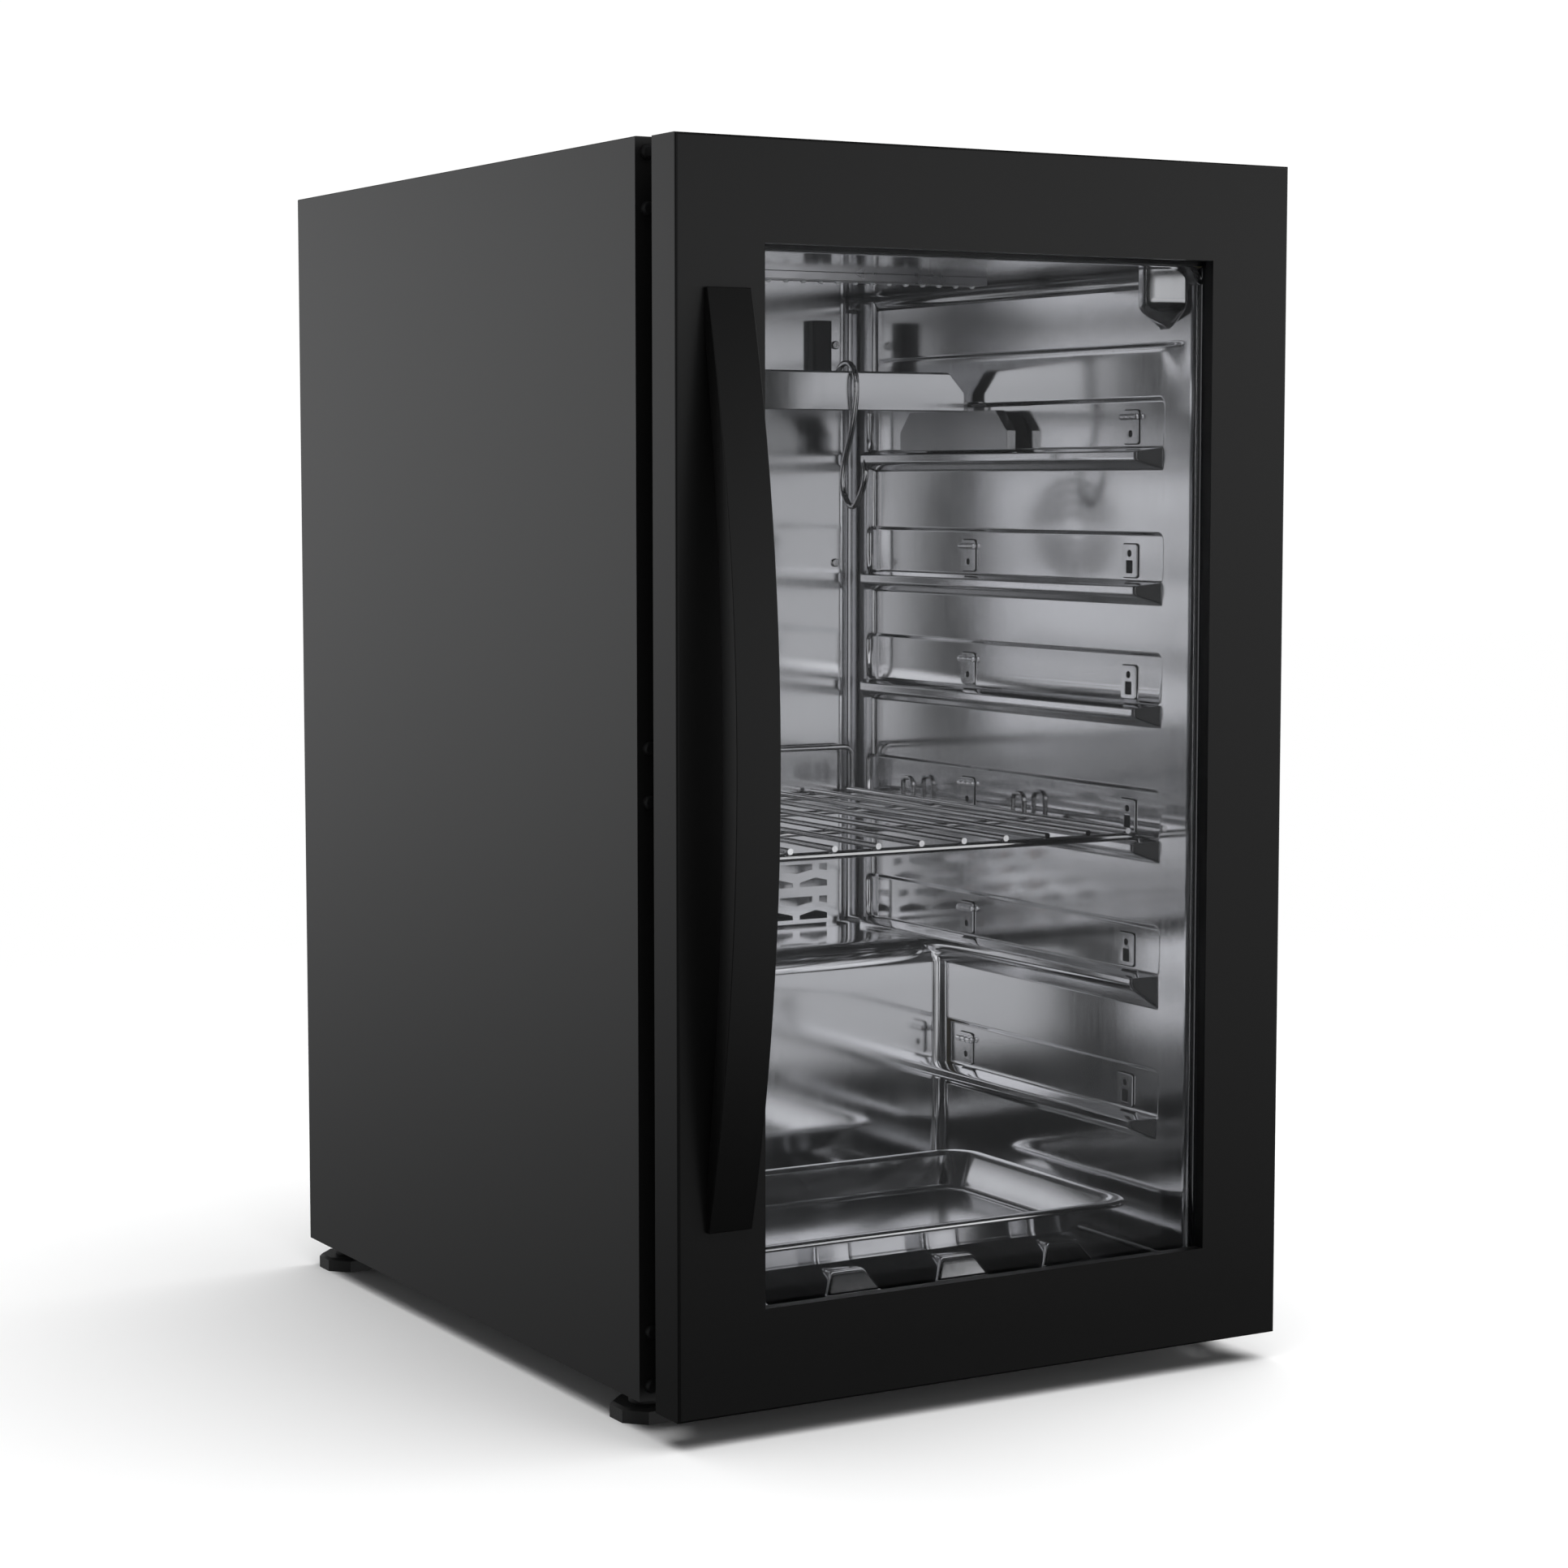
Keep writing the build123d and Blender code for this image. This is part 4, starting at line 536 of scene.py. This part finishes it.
def rib_height(x, y):
    """Height of the floor ribs at a point of the floor."""
    height = 0.0
    for centre in RIB_CENTRES:
        side = (RIB_HALF_BASE - abs(x - centre)) * RIB_HEIGHT / (RIB_HALF_BASE - RIB_HALF_CREST)
        front = (y - RIB_FRONT) * RIB_HEIGHT / RIB_END_SLOPE
        rear = (RIB_REAR - y) * RIB_HEIGHT / RIB_END_SLOPE
        rib = soft_min(soft_min(side, soft_min(front, rear, 4.0), 4.0), RIB_HEIGHT, 4.0)
        height = max(height, rib)
    return height


def cove_radius(z, normal_z):
    """Radius of the cove where the wrap meets the side walls: small on the floor, wide on the ceiling."""
    if normal_z > 0.9:
        return FLOOR_COVE
    return CEILING_COVE if z > LINER_TOP - 1 else CORNER_RADIUS


def liner_wrap():
    """The floor with its ribs, the step, the back and the ceiling of the liner, in one folded sheet."""
    details = []
    for centre in RIB_CENTRES:
        for flank in (centre - RIB_FLANK, centre + RIB_FLANK):
            details.append((flank - 7, flank + 7, 0.8))
    edge = LINER_HALF - CEILING_COVE
    details += [(-LINER_HALF, -edge, 0.8), (edge, LINER_HALF, 0.8)]
    xs = grid_lines(-LINER_HALF, LINER_HALF, 16.0, details)
    rows = []
    for y, z, ny, nz in wrap_profile():
        row = []
        for x in xs:
            lift = 0.0
            radius = cove_radius(z, nz)
            inset = radius - (LINER_HALF - abs(x))
            if inset > 0:
                lift = radius - math.sqrt(max(radius ** 2 - inset ** 2, 0.0))
            if z == LINER_FLOOR and nz == 1:
                lift += rib_height(x, y)
            row.append(Vector((x, y + ny * lift, z + nz * lift)) * MM)
        rows.append(row)
    return finish_piece("liner_shell", shell_mesh("liner_shell", rows, SHEET * MM), "liner_steel", "cabinet",
                        "liner_wrap")


def rounded_loop(half_x, half_y, radius, centre_y, z, steps=10):
    """Points round a rounded rectangle at one height."""
    points = []
    corners = ((1, -1, -90), (1, 1, 0), (-1, 1, 90), (-1, -1, 180))
    for sx, sy, start in corners:
        cx, cy = sx * (half_x - radius), centre_y + sy * (half_y - radius)
        for i in range(steps + 1):
            angle = math.radians(start + 90 * i / steps)
            points.append(Vector((cx + radius * math.cos(angle), cy + radius * math.sin(angle), z)))
    return points


def drip_tray():
    """Pressed tray with a rolled rim, flared walls and a rounded floor edge."""
    half_x = TRAY_HIGH.x / MM
    half_y = (TRAY_HIGH.y - TRAY_LOW.y) / MM / 2
    centre_y = (TRAY_HIGH.y + TRAY_LOW.y) / MM / 2
    rim, floor = TRAY_HIGH.z / MM, TRAY_LOW.z / MM
    section = [(0.3, rim - 4.0), (0.0, rim - 2.4), (0.5, rim - 0.9), (1.8, rim - 0.1), (3.4, rim),
               (7.8, rim - 0.1), (9.2, rim - 0.8), (10.4, rim - 2.4), (26.0, floor + 7.0),
               (27.6, floor + 4.2), (30.2, floor + 2.2), (34.5, floor + 1.1), (60.0, floor + 0.9),
               (100.0, floor + 0.9)]
    flank_points = 9
    back = [(inset + TRAY_SHEET if i < flank_points else inset, z - TRAY_SHEET)
            for i, (inset, z) in enumerate(section)]
    back[0] = (1.1, rim - 4.0)
    loops = []
    for inset, z in back[::-1] + section:
        corner = max(TRAY_CORNER - inset * TRAY_TAPER, 4.0)
        loops.append(rounded_loop(half_x - inset, half_y - inset, corner, centre_y, z))
    count = len(loops[0])
    verts = [point * MM for loop in loops for point in loop]
    faces = []
    for i in range(len(loops) - 1):
        for j in range(count):
            a, b = i * count + j, i * count + (j + 1) % count
            faces.append((a, b, b + count, a + count))
    faces.append(tuple(range(count))[::-1])
    last = (len(loops) - 1) * count
    faces.append(tuple(range(last, last + count)))
    mesh = bpy.data.meshes.new("drip_tray_pan")
    mesh.from_pydata(verts, [], faces)
    return finish_piece("drip_tray_pan", mesh, "bright_steel", "tray", "drip_tray")


def door_gasket():
    """Magnetic gasket with bellows folds, swept round the door."""
    outer_x, low_z, high_z = GASKET_HIGH.x / MM, GASKET_LOW.z / MM, GASKET_HIGH.z / MM
    front, back = GASKET_LOW.y / MM, GASKET_HIGH.y / MM
    section = [(1.0, 0.0), (0.2, 0.08), (0.6, 0.2), (2.6, 0.3), (2.8, 0.38), (0.8, 0.48), (0.1, 0.58),
               (0.0, 0.8), (0.5, 0.95), (1.6, 1.0), (11.4, 1.0), (12.5, 0.95), (13.0, 0.8), (12.9, 0.58),
               (12.2, 0.48), (10.2, 0.38), (10.4, 0.3), (12.4, 0.2), (12.8, 0.08), (12.0, 0.0)]
    corners = ((1, 1), (-1, 1), (-1, -1), (1, -1))
    verts, faces = [], []
    for sx, sz in corners:
        for inset, depth in section:
            x = sx * (outer_x - inset)
            z = high_z - inset if sz > 0 else low_z + inset
            verts.append(Vector((x, front + (back - front) * depth, z)) * MM)
    count = len(section)
    for i in range(4):
        for j in range(count):
            a, b = i * count + j, i * count + (j + 1) % count
            c = (i + 1) % 4 * count
            faces.append((a, b, c + b - i * count, c + a - i * count))
    mesh = bpy.data.meshes.new("door_seal")
    mesh.from_pydata(verts, [], faces)
    work = bmesh.new()
    work.from_mesh(mesh)
    bmesh.ops.recalc_face_normals(work, faces=work.faces)
    work.to_mesh(mesh)
    work.free()
    return finish_piece("door_seal", mesh, "gasket_rubber", "door", "door_gasket")


def rounded_outline(centre, half, radius, steps=5):
    """Points round a rounded rectangle in a plane, in millimetres."""
    points = []
    for sx, sy, start in ((1, -1, -90), (1, 1, 0), (-1, 1, 90), (-1, -1, 180)):
        middle = (centre[0] + sx * (half[0] - radius), centre[1] + sy * (half[1] - radius))
        for i in range(steps + 1):
            angle = math.radians(start + 90 * i / steps)
            points.append((middle[0] + radius * math.cos(angle), middle[1] + radius * math.sin(angle)))
    return points


def flat_plate(outlines, thickness, edge):
    """Mesh of a plate in a plane with rounded edges; every outline after the first is a hole. Millimetres."""
    curve = bpy.data.curves.new("plate", "CURVE")
    curve.dimensions = "2D"
    curve.fill_mode = "BOTH"
    curve.extrude = thickness / 2 - edge
    curve.bevel_depth = edge
    curve.bevel_resolution = 2
    curve.offset = -edge
    for points in outlines:
        spline = curve.splines.new("POLY")
        spline.points.add(len(points) - 1)
        for target, (x, y) in zip(spline.points, points):
            target.co = (x, y, 0, 1)
        spline.use_cyclic_u = True
    holder = bpy.data.objects.new("plate", curve)
    mesh = bpy.data.meshes.new_from_object(holder)
    bpy.data.objects.remove(holder)
    return mesh


def turned_stub(length, radius, edge, sides=16):
    """Mesh of a short rounded roller along X. Millimetres."""
    section = [(-length / 2, 0.0), (-length / 2, radius - edge), (-length / 2 + edge, radius),
               (length / 2 - edge, radius), (length / 2, radius - edge), (length / 2, 0.0)]
    verts, faces = [], []
    for along, reach in section:
        for i in range(sides):
            angle = 2 * math.pi * i / sides
            verts.append((along, reach * math.cos(angle), reach * math.sin(angle)))
    for i in range(len(section) - 1):
        for j in range(sides):
            a, b = i * sides + j, i * sides + (j + 1) % sides
            faces.append((a, b, b + sides, a + sides))
    mesh = bpy.data.meshes.new("stub")
    mesh.from_pydata(verts, [], faces)
    return mesh


def gathered(name, parts):
    """One mesh from many (mesh, function of a point) pairs; the functions give metres."""
    work = bmesh.new()
    for mesh, place in parts:
        part = bmesh.new()
        part.from_mesh(mesh)
        made = [work.verts.new(place(v.co)) for v in part.verts]
        part.verts.index_update()
        for face in part.faces:
            work.faces.new([made[v.index] for v in face.verts])
        part.free()
    bmesh.ops.remove_doubles(work, verts=work.verts, dist=1e-6)
    bmesh.ops.dissolve_degenerate(work, edges=work.edges, dist=1e-7)
    bmesh.ops.recalc_face_normals(work, faces=work.faces)
    result = bpy.data.meshes.new(name)
    work.to_mesh(result)
    work.free()
    return result


def on_wall(side, y0, z0, lift):
    """Places a point of a wall fitting: its X along the wall, its Y up and its Z out of the recess."""
    face = LINER_HALF + RECESS_DEPTH - lift
    return lambda p: Vector((side * (face - p.z), y0 + p.x, z0 + p.y)) * MM


def clip_places():
    """Every clip as (side, y, z of its middle, whether it is hooked)."""
    places = []
    for side in (1, -1):
        for level, top in enumerate(LEDGE_TOPS):
            places.append((side, CLIP_FRONT_Y, top + CLIP_RISE, level == 0))
            places.append((side, CLIP_REAR_Y, top + CLIP_RISE, True))
    return places


def rail_clips():
    """Stamped clips on the recesses: hooked ones with a roller, and plain ones with a hole and a slot; black
    pads a little larger than each clip lie under them as painted shade round their edges.
    """
    outline = rounded_outline((0, 0), CLIP_HALF, 2.2)
    low_hole = rounded_outline((0, -5.0), (2.5, 2.5), 2.45)
    high_hole = rounded_outline((0, 5.5), (2.5, 2.5), 2.45)
    slot = rounded_outline((0, -4.6), (4.0, 4.7), 0.9)
    hooked = flat_plate([outline, low_hole], CLIP_THICKNESS, 0.4)
    plain = flat_plate([outline, high_hole, slot], CLIP_THICKNESS, 0.4)
    # black pads under the clips: painted shade for the dark gap and contact shadow round each clip
    shade_pad_half = (CLIP_HALF[0] + SHADE_PAD_MARGIN, CLIP_HALF[1] + SHADE_PAD_MARGIN)
    shade_pad = flat_plate([rounded_outline((0, 0), shade_pad_half, 2.8)], 0.5, 0.1)
    roller = turned_stub(6.4, 2.5, 0.5)
    hooked_parts, plain_parts, shade_pads = [], [], []
    for side, y, z, is_hooked in clip_places():
        shade_pads.append((shade_pad, on_wall(side, y, z, 0.2)))
        if is_hooked:
            hooked_parts.append((hooked, on_wall(side, y, z, 1.0)))
            for step in (-ROLLER_PITCH, 0.0, ROLLER_PITCH):
                hooked_parts.append((roller, on_wall(side, y + step, z + 7.5, 2.6)))
        else:
            plain_parts.append((plain, on_wall(side, y, z, 1.0)))
    # the black pad piece is painted shade round the clips
    for name, parts, slot_name in (("clips_with_rollers", hooked_parts, "bright_steel"),
                                   ("clips_with_slots", plain_parts, "bright_steel"),
                                   ("clip_shade_pads", shade_pads, "black_plastic")):
        nodes = ("slotted_clips",) if parts is plain_parts else ("hooked_clips",)
        piece = finish_piece(name, gathered(name, parts), slot_name, "cabinet", *nodes)
        crisp_faces(piece)


def crisp_faces(piece):
    """Keeps flat faces flat on screen beside rounded edges."""
    split = piece.modifiers.new("edges", "EDGE_SPLIT")
    split.split_angle = math.radians(PIECE_SPLIT_ANGLE)
    weighted = piece.modifiers.new("weighted", "WEIGHTED_NORMAL")
    weighted.keep_sharp = False


def lamp_strip():
    """The lamp bar's underside: a flat strip and a row of small light-emitting domes."""
    low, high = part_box("lamp_diffuser")
    middle = (low + high) / 2 / MM
    half = ((high.x - low.x) / 2 / MM, (high.y - low.y) / 2 / MM)
    base = low.z / MM
    strip = flat_plate([rounded_outline((0, 0), half, 1.0)], 1.6, 0.3)
    piece = finish_piece("lamp_strip", gathered("lamp_strip", [
        (strip, lambda p: Vector((p.x, middle.y + p.y, base + 2.4 + p.z)) * MM)]), "lamp_channel", "cabinet",
        "lamp_diffuser")
    crisp_faces(piece)
    dome = turned_stub(3.0, 2.3, 1.0)
    parts = []
    for i in range(LAMP_DOMES):
        x = (i - (LAMP_DOMES - 1) / 2) * (2 * half[0] - LAMP_END_MARGIN) / (LAMP_DOMES - 1)
        parts.append((dome, lambda p, x=x: Vector((x + p.y, middle.y + p.z, base + 1.4 + p.x)) * MM))
    finish_piece("lamp_domes", gathered("lamp_domes", parts), "lamp_lens", "cabinet", "lamp_diffuser")


def dress_cad_nodes():
    """Gives every CAD node its material, and a rounded edge where one shows."""
    slots = {entry["node"]: entry["material_slot"] for entry in frame["record"]["subparts"]}
    for name, node in frame["nodes"].items():
        use_slot_material(node, slots[name])
        for face in node.data.polygons:
            face.use_smooth = True
    # the foam shows only at the window's edge, where a black film seals it
    use_slot_material(frame["nodes"]["door_foam"], "spacer_black")
    edges = {"outer_case": 0.6, "door_handle": 1.0, "hanging_bar": 0.6, "bar_brackets": 0.9,
             "sensor_cover": 0.5, "lamp_housing": 0.4, "base_pan": 0.3, "door_back_frame": 0.8,
             "front_frame": 0.6, "hinge_brackets": 0.4, "power_inlet": 0.5}
    for name, width in edges.items():
        soft_edges(frame["nodes"][name], width * MM)
    for name, node in frame["nodes"].items():
        if name not in edges:
            weld = node.modifiers.new("weld", "WELD")
            weld.merge_threshold = WELD_DISTANCE
            split = node.modifiers.new("edges", "EDGE_SPLIT")
            angle = WIRE_SPLIT_ANGLE if slots[name] == "polished_wire" else SPLIT_ANGLE
            split.split_angle = math.radians(angle)
            weighted = node.modifiers.new("weighted", "WEIGHTED_NORMAL")
            weighted.keep_sharp = False


# ---------------------------------------------------------------- stage

def build_floor():
    """A wide pale studio floor."""
    half = FLOOR_HALF
    mesh = bpy.data.meshes.new("studio_floor")
    corners = [(-half, -half, 0), (half, -half, 0), (half, half, 0), (-half, half, 0)]
    mesh.from_pydata(corners, [], [(0, 1, 2, 3)])
    floor = bpy.data.objects.new("studio_floor", mesh)
    bpy.context.scene.collection.objects.link(floor)
    mat, tree, shader, coords = new_material("studio_floor")
    shader.inputs["Roughness"].default_value = 0.9
    shader.inputs["Specular IOR Level"].default_value = 0.1
    tint(tree, shader, noise(tree, coords, 3.0), (0.86, 0.86, 0.86), (0.88, 0.88, 0.88))
    glow = tree.nodes.new("ShaderNodeEmission")
    mix = tree.nodes.new("ShaderNodeMixShader")
    reach = tree.nodes.new("ShaderNodeVectorMath")
    reach.operation = "LENGTH"
    tree.links.new(coords.outputs["Object"], reach.inputs[0])
    away = ramp(tree, reach.outputs["Value"], 0.0, 1.0, *FLOOR_FADE)
    away.node.interpolation_type = "SMOOTHSTEP"
    tree.links.new(away, mix.inputs["Fac"])
    tree.links.new(shader.outputs["BSDF"], mix.inputs[1])
    tree.links.new(glow.outputs["Emission"], mix.inputs[2])
    tree.links.new(mix.outputs["Shader"], tree.nodes["Material Output"].inputs["Surface"])
    mesh.materials.append(mat)
    floor.visible_glossy = False


def toward(tree, direction, vector):
    """How nearly a direction points along a unit vector, from -1 to 1."""
    node = tree.nodes.new("ShaderNodeVectorMath")
    node.operation = "DOT_PRODUCT"
    node.inputs[1].default_value = Vector(vector).normalized()
    tree.links.new(direction, node.inputs[0])
    return node.outputs["Value"]


def soft_patch(tree, direction, vector, outer, inner, strength):
    """A round soft light in the surroundings, faded between two half-angles in degrees."""
    facing = toward(tree, direction, vector)
    node = tree.nodes.new("ShaderNodeMapRange")
    node.interpolation_type = "SMOOTHSTEP"
    node.inputs["From Min"].default_value = math.cos(math.radians(outer))
    node.inputs["From Max"].default_value = math.cos(math.radians(inner))
    node.inputs["To Max"].default_value = strength
    tree.links.new(facing, node.inputs["Value"])
    return node.outputs["Result"]


# share of the surroundings' light by the sine of the elevation
ELEVATION_STOPS = ((-1.0, 0.01), (-0.34, 0.04), (-0.2, 0.24), (-0.06, 0.86), (0.06, 1.0), (0.2, 0.62),
                   (0.42, 0.16), (0.75, 0.14), (1.0, 0.5))
AROUND = 0.16
# direction, outer and inner half-angle in degrees, strength
SOFT_PATCHES = (
    ((0.30, -0.95, 0.0), 40, 8, 0.6),
    ((0.94, -0.34, 0.0), 30, 12, 3.0),
    ((-0.96, -0.28, 0.0), 24, 10, -0.14),
    ((-0.5, 0.866, 0.05), 75, 18, 0.8),
)
# the same for lights that keep their strength low down
LOW_PATCHES = (
    ((-0.56, -0.83, -0.22), 20, 8, 0.42),
    ((-0.45, -0.84, 0.31), 18, 6, 0.75),
    ((0.50, -0.84, -0.24), 16, 6, 0.6),
)


def build_world():
    """White backdrop to the eye; for all else a studio, dark low down, with soft lights round it."""
    world = bpy.data.worlds.new("studio")
    bpy.context.scene.world = world
    world.use_nodes = True
    tree = world.node_tree
    tree.nodes.clear()
    out = tree.nodes.new("ShaderNodeOutputWorld")
    seen = tree.nodes.new("ShaderNodeBackground")
    lit = tree.nodes.new("ShaderNodeBackground")
    mix = tree.nodes.new("ShaderNodeMixShader")
    path = tree.nodes.new("ShaderNodeLightPath")
    direction = tree.nodes.new("ShaderNodeTexCoord").outputs["Generated"]
    height = math_node(tree, "MULTIPLY_ADD", toward(tree, direction, (0, 0, 1)), 0.5)
    height.node.inputs[2].default_value = 0.5
    fade = tree.nodes.new("ShaderNodeValToRGB")
    stops = fade.color_ramp.elements
    while len(stops) < len(ELEVATION_STOPS):
        stops.new(0.5)
    for stop, (rise, level) in zip(stops, ELEVATION_STOPS):
        stop.position = (rise + 1) / 2
        stop.color = (level, level, level, 1)
    tree.links.new(height, fade.inputs["Fac"])
    total = AROUND
    for vector, outer, inner, strength in SOFT_PATCHES:
        total = math_node(tree, "ADD", total, soft_patch(tree, direction, vector, outer, inner, strength))
    total = math_node(tree, "MULTIPLY", total, fade.outputs["Color"])
    for vector, outer, inner, strength in LOW_PATCHES:
        total = math_node(tree, "ADD", total, soft_patch(tree, direction, vector, outer, inner, strength))
    lit.inputs["Color"].default_value = (0.985, 0.99, 1.0, 1)
    tree.links.new(total, lit.inputs["Strength"])
    seen.inputs["Color"].default_value = (1, 1, 1, 1)
    seen.inputs["Strength"].default_value = BACKDROP_LEVEL
    tree.links.new(path.outputs["Is Camera Ray"], mix.inputs["Fac"])
    tree.links.new(lit.outputs["Background"], mix.inputs[1])
    tree.links.new(seen.outputs["Background"], mix.inputs[2])
    tree.links.new(mix.outputs["Shader"], out.inputs["Surface"])


def softbox(name, place, target, size, power):
    """A square area light that looks at a point."""
    light = bpy.data.lights.new(name, "AREA")
    light.shape = "RECTANGLE"
    light.size, light.size_y = size
    light.energy = power
    box = bpy.data.objects.new(name, light)
    box.location = place
    box.rotation_euler = (Vector(target) - Vector(place)).to_track_quat("-Z", "Y").to_euler()
    box.visible_glossy = False
    bpy.context.scene.collection.objects.link(box)


def build_lights():
    """Soft studio light from overhead, and a diffuser in front on the right."""
    middle = (0, 0, 0.45)
    softbox("overhead", (0.5, -0.3, 4.2), middle, (6.0, 6.0), 420)
    glow_panel("front_diffuser", (1.2, -1.22, 0.42), (-0.56, 0.83, 0.0), (1.1, 1.6), 0.78)


def glow_panel(name, middle, facing, size, strength):
    """A flat diffuser that lights the cabinet and is seen only in reflections."""
    mesh = bpy.data.meshes.new(name)
    half_x, half_y = size[0] / 2, size[1] / 2
    corners = [(-half_x, -half_y, 0), (half_x, -half_y, 0), (half_x, half_y, 0), (-half_x, half_y, 0)]
    mesh.from_pydata(corners, [], [(0, 1, 2, 3)])
    panel = bpy.data.objects.new(name, mesh)
    panel.location = middle
    panel.rotation_euler = Vector(facing).to_track_quat("Z", "Y").to_euler()
    panel.visible_camera = False
    panel.visible_diffuse = False
    panel.visible_shadow = False
    bpy.context.scene.collection.objects.link(panel)
    mat, tree, shader, coords = new_material(name)
    shader.inputs["Base Color"].default_value = (0, 0, 0, 1)
    shader.inputs["Emission Color"].default_value = (1, 1, 1, 1)
    uneven = ramp(tree, noise(tree, coords, 1.5), strength * 0.97, strength * 1.03)
    tree.links.new(uneven, shader.inputs["Emission Strength"])
    mesh.materials.append(mat)


def build_camera():
    """The photograph's viewpoint: left of the door, a little above the middle."""
    camera = bpy.data.cameras.new("camera")
    camera.sensor_width = 36.0
    camera.lens = CAMERA_LENS
    rig = bpy.data.objects.new("camera", camera)
    rig.location = CAMERA_PLACE
    rig.rotation_euler = (math.radians(90 - CAMERA_PITCH), 0, math.radians(-CAMERA_YAW))
    bpy.context.scene.collection.objects.link(rig)
    bpy.context.scene.camera = rig


build_camera()
dress_cad_nodes()
liner_side(1)
liner_side(-1)
liner_wrap()
drip_tray()
door_gasket()
rail_clips()
lamp_strip()
build_floor()
build_world()
build_lights()
bpy.context.scene.view_settings.view_transform = "Standard"
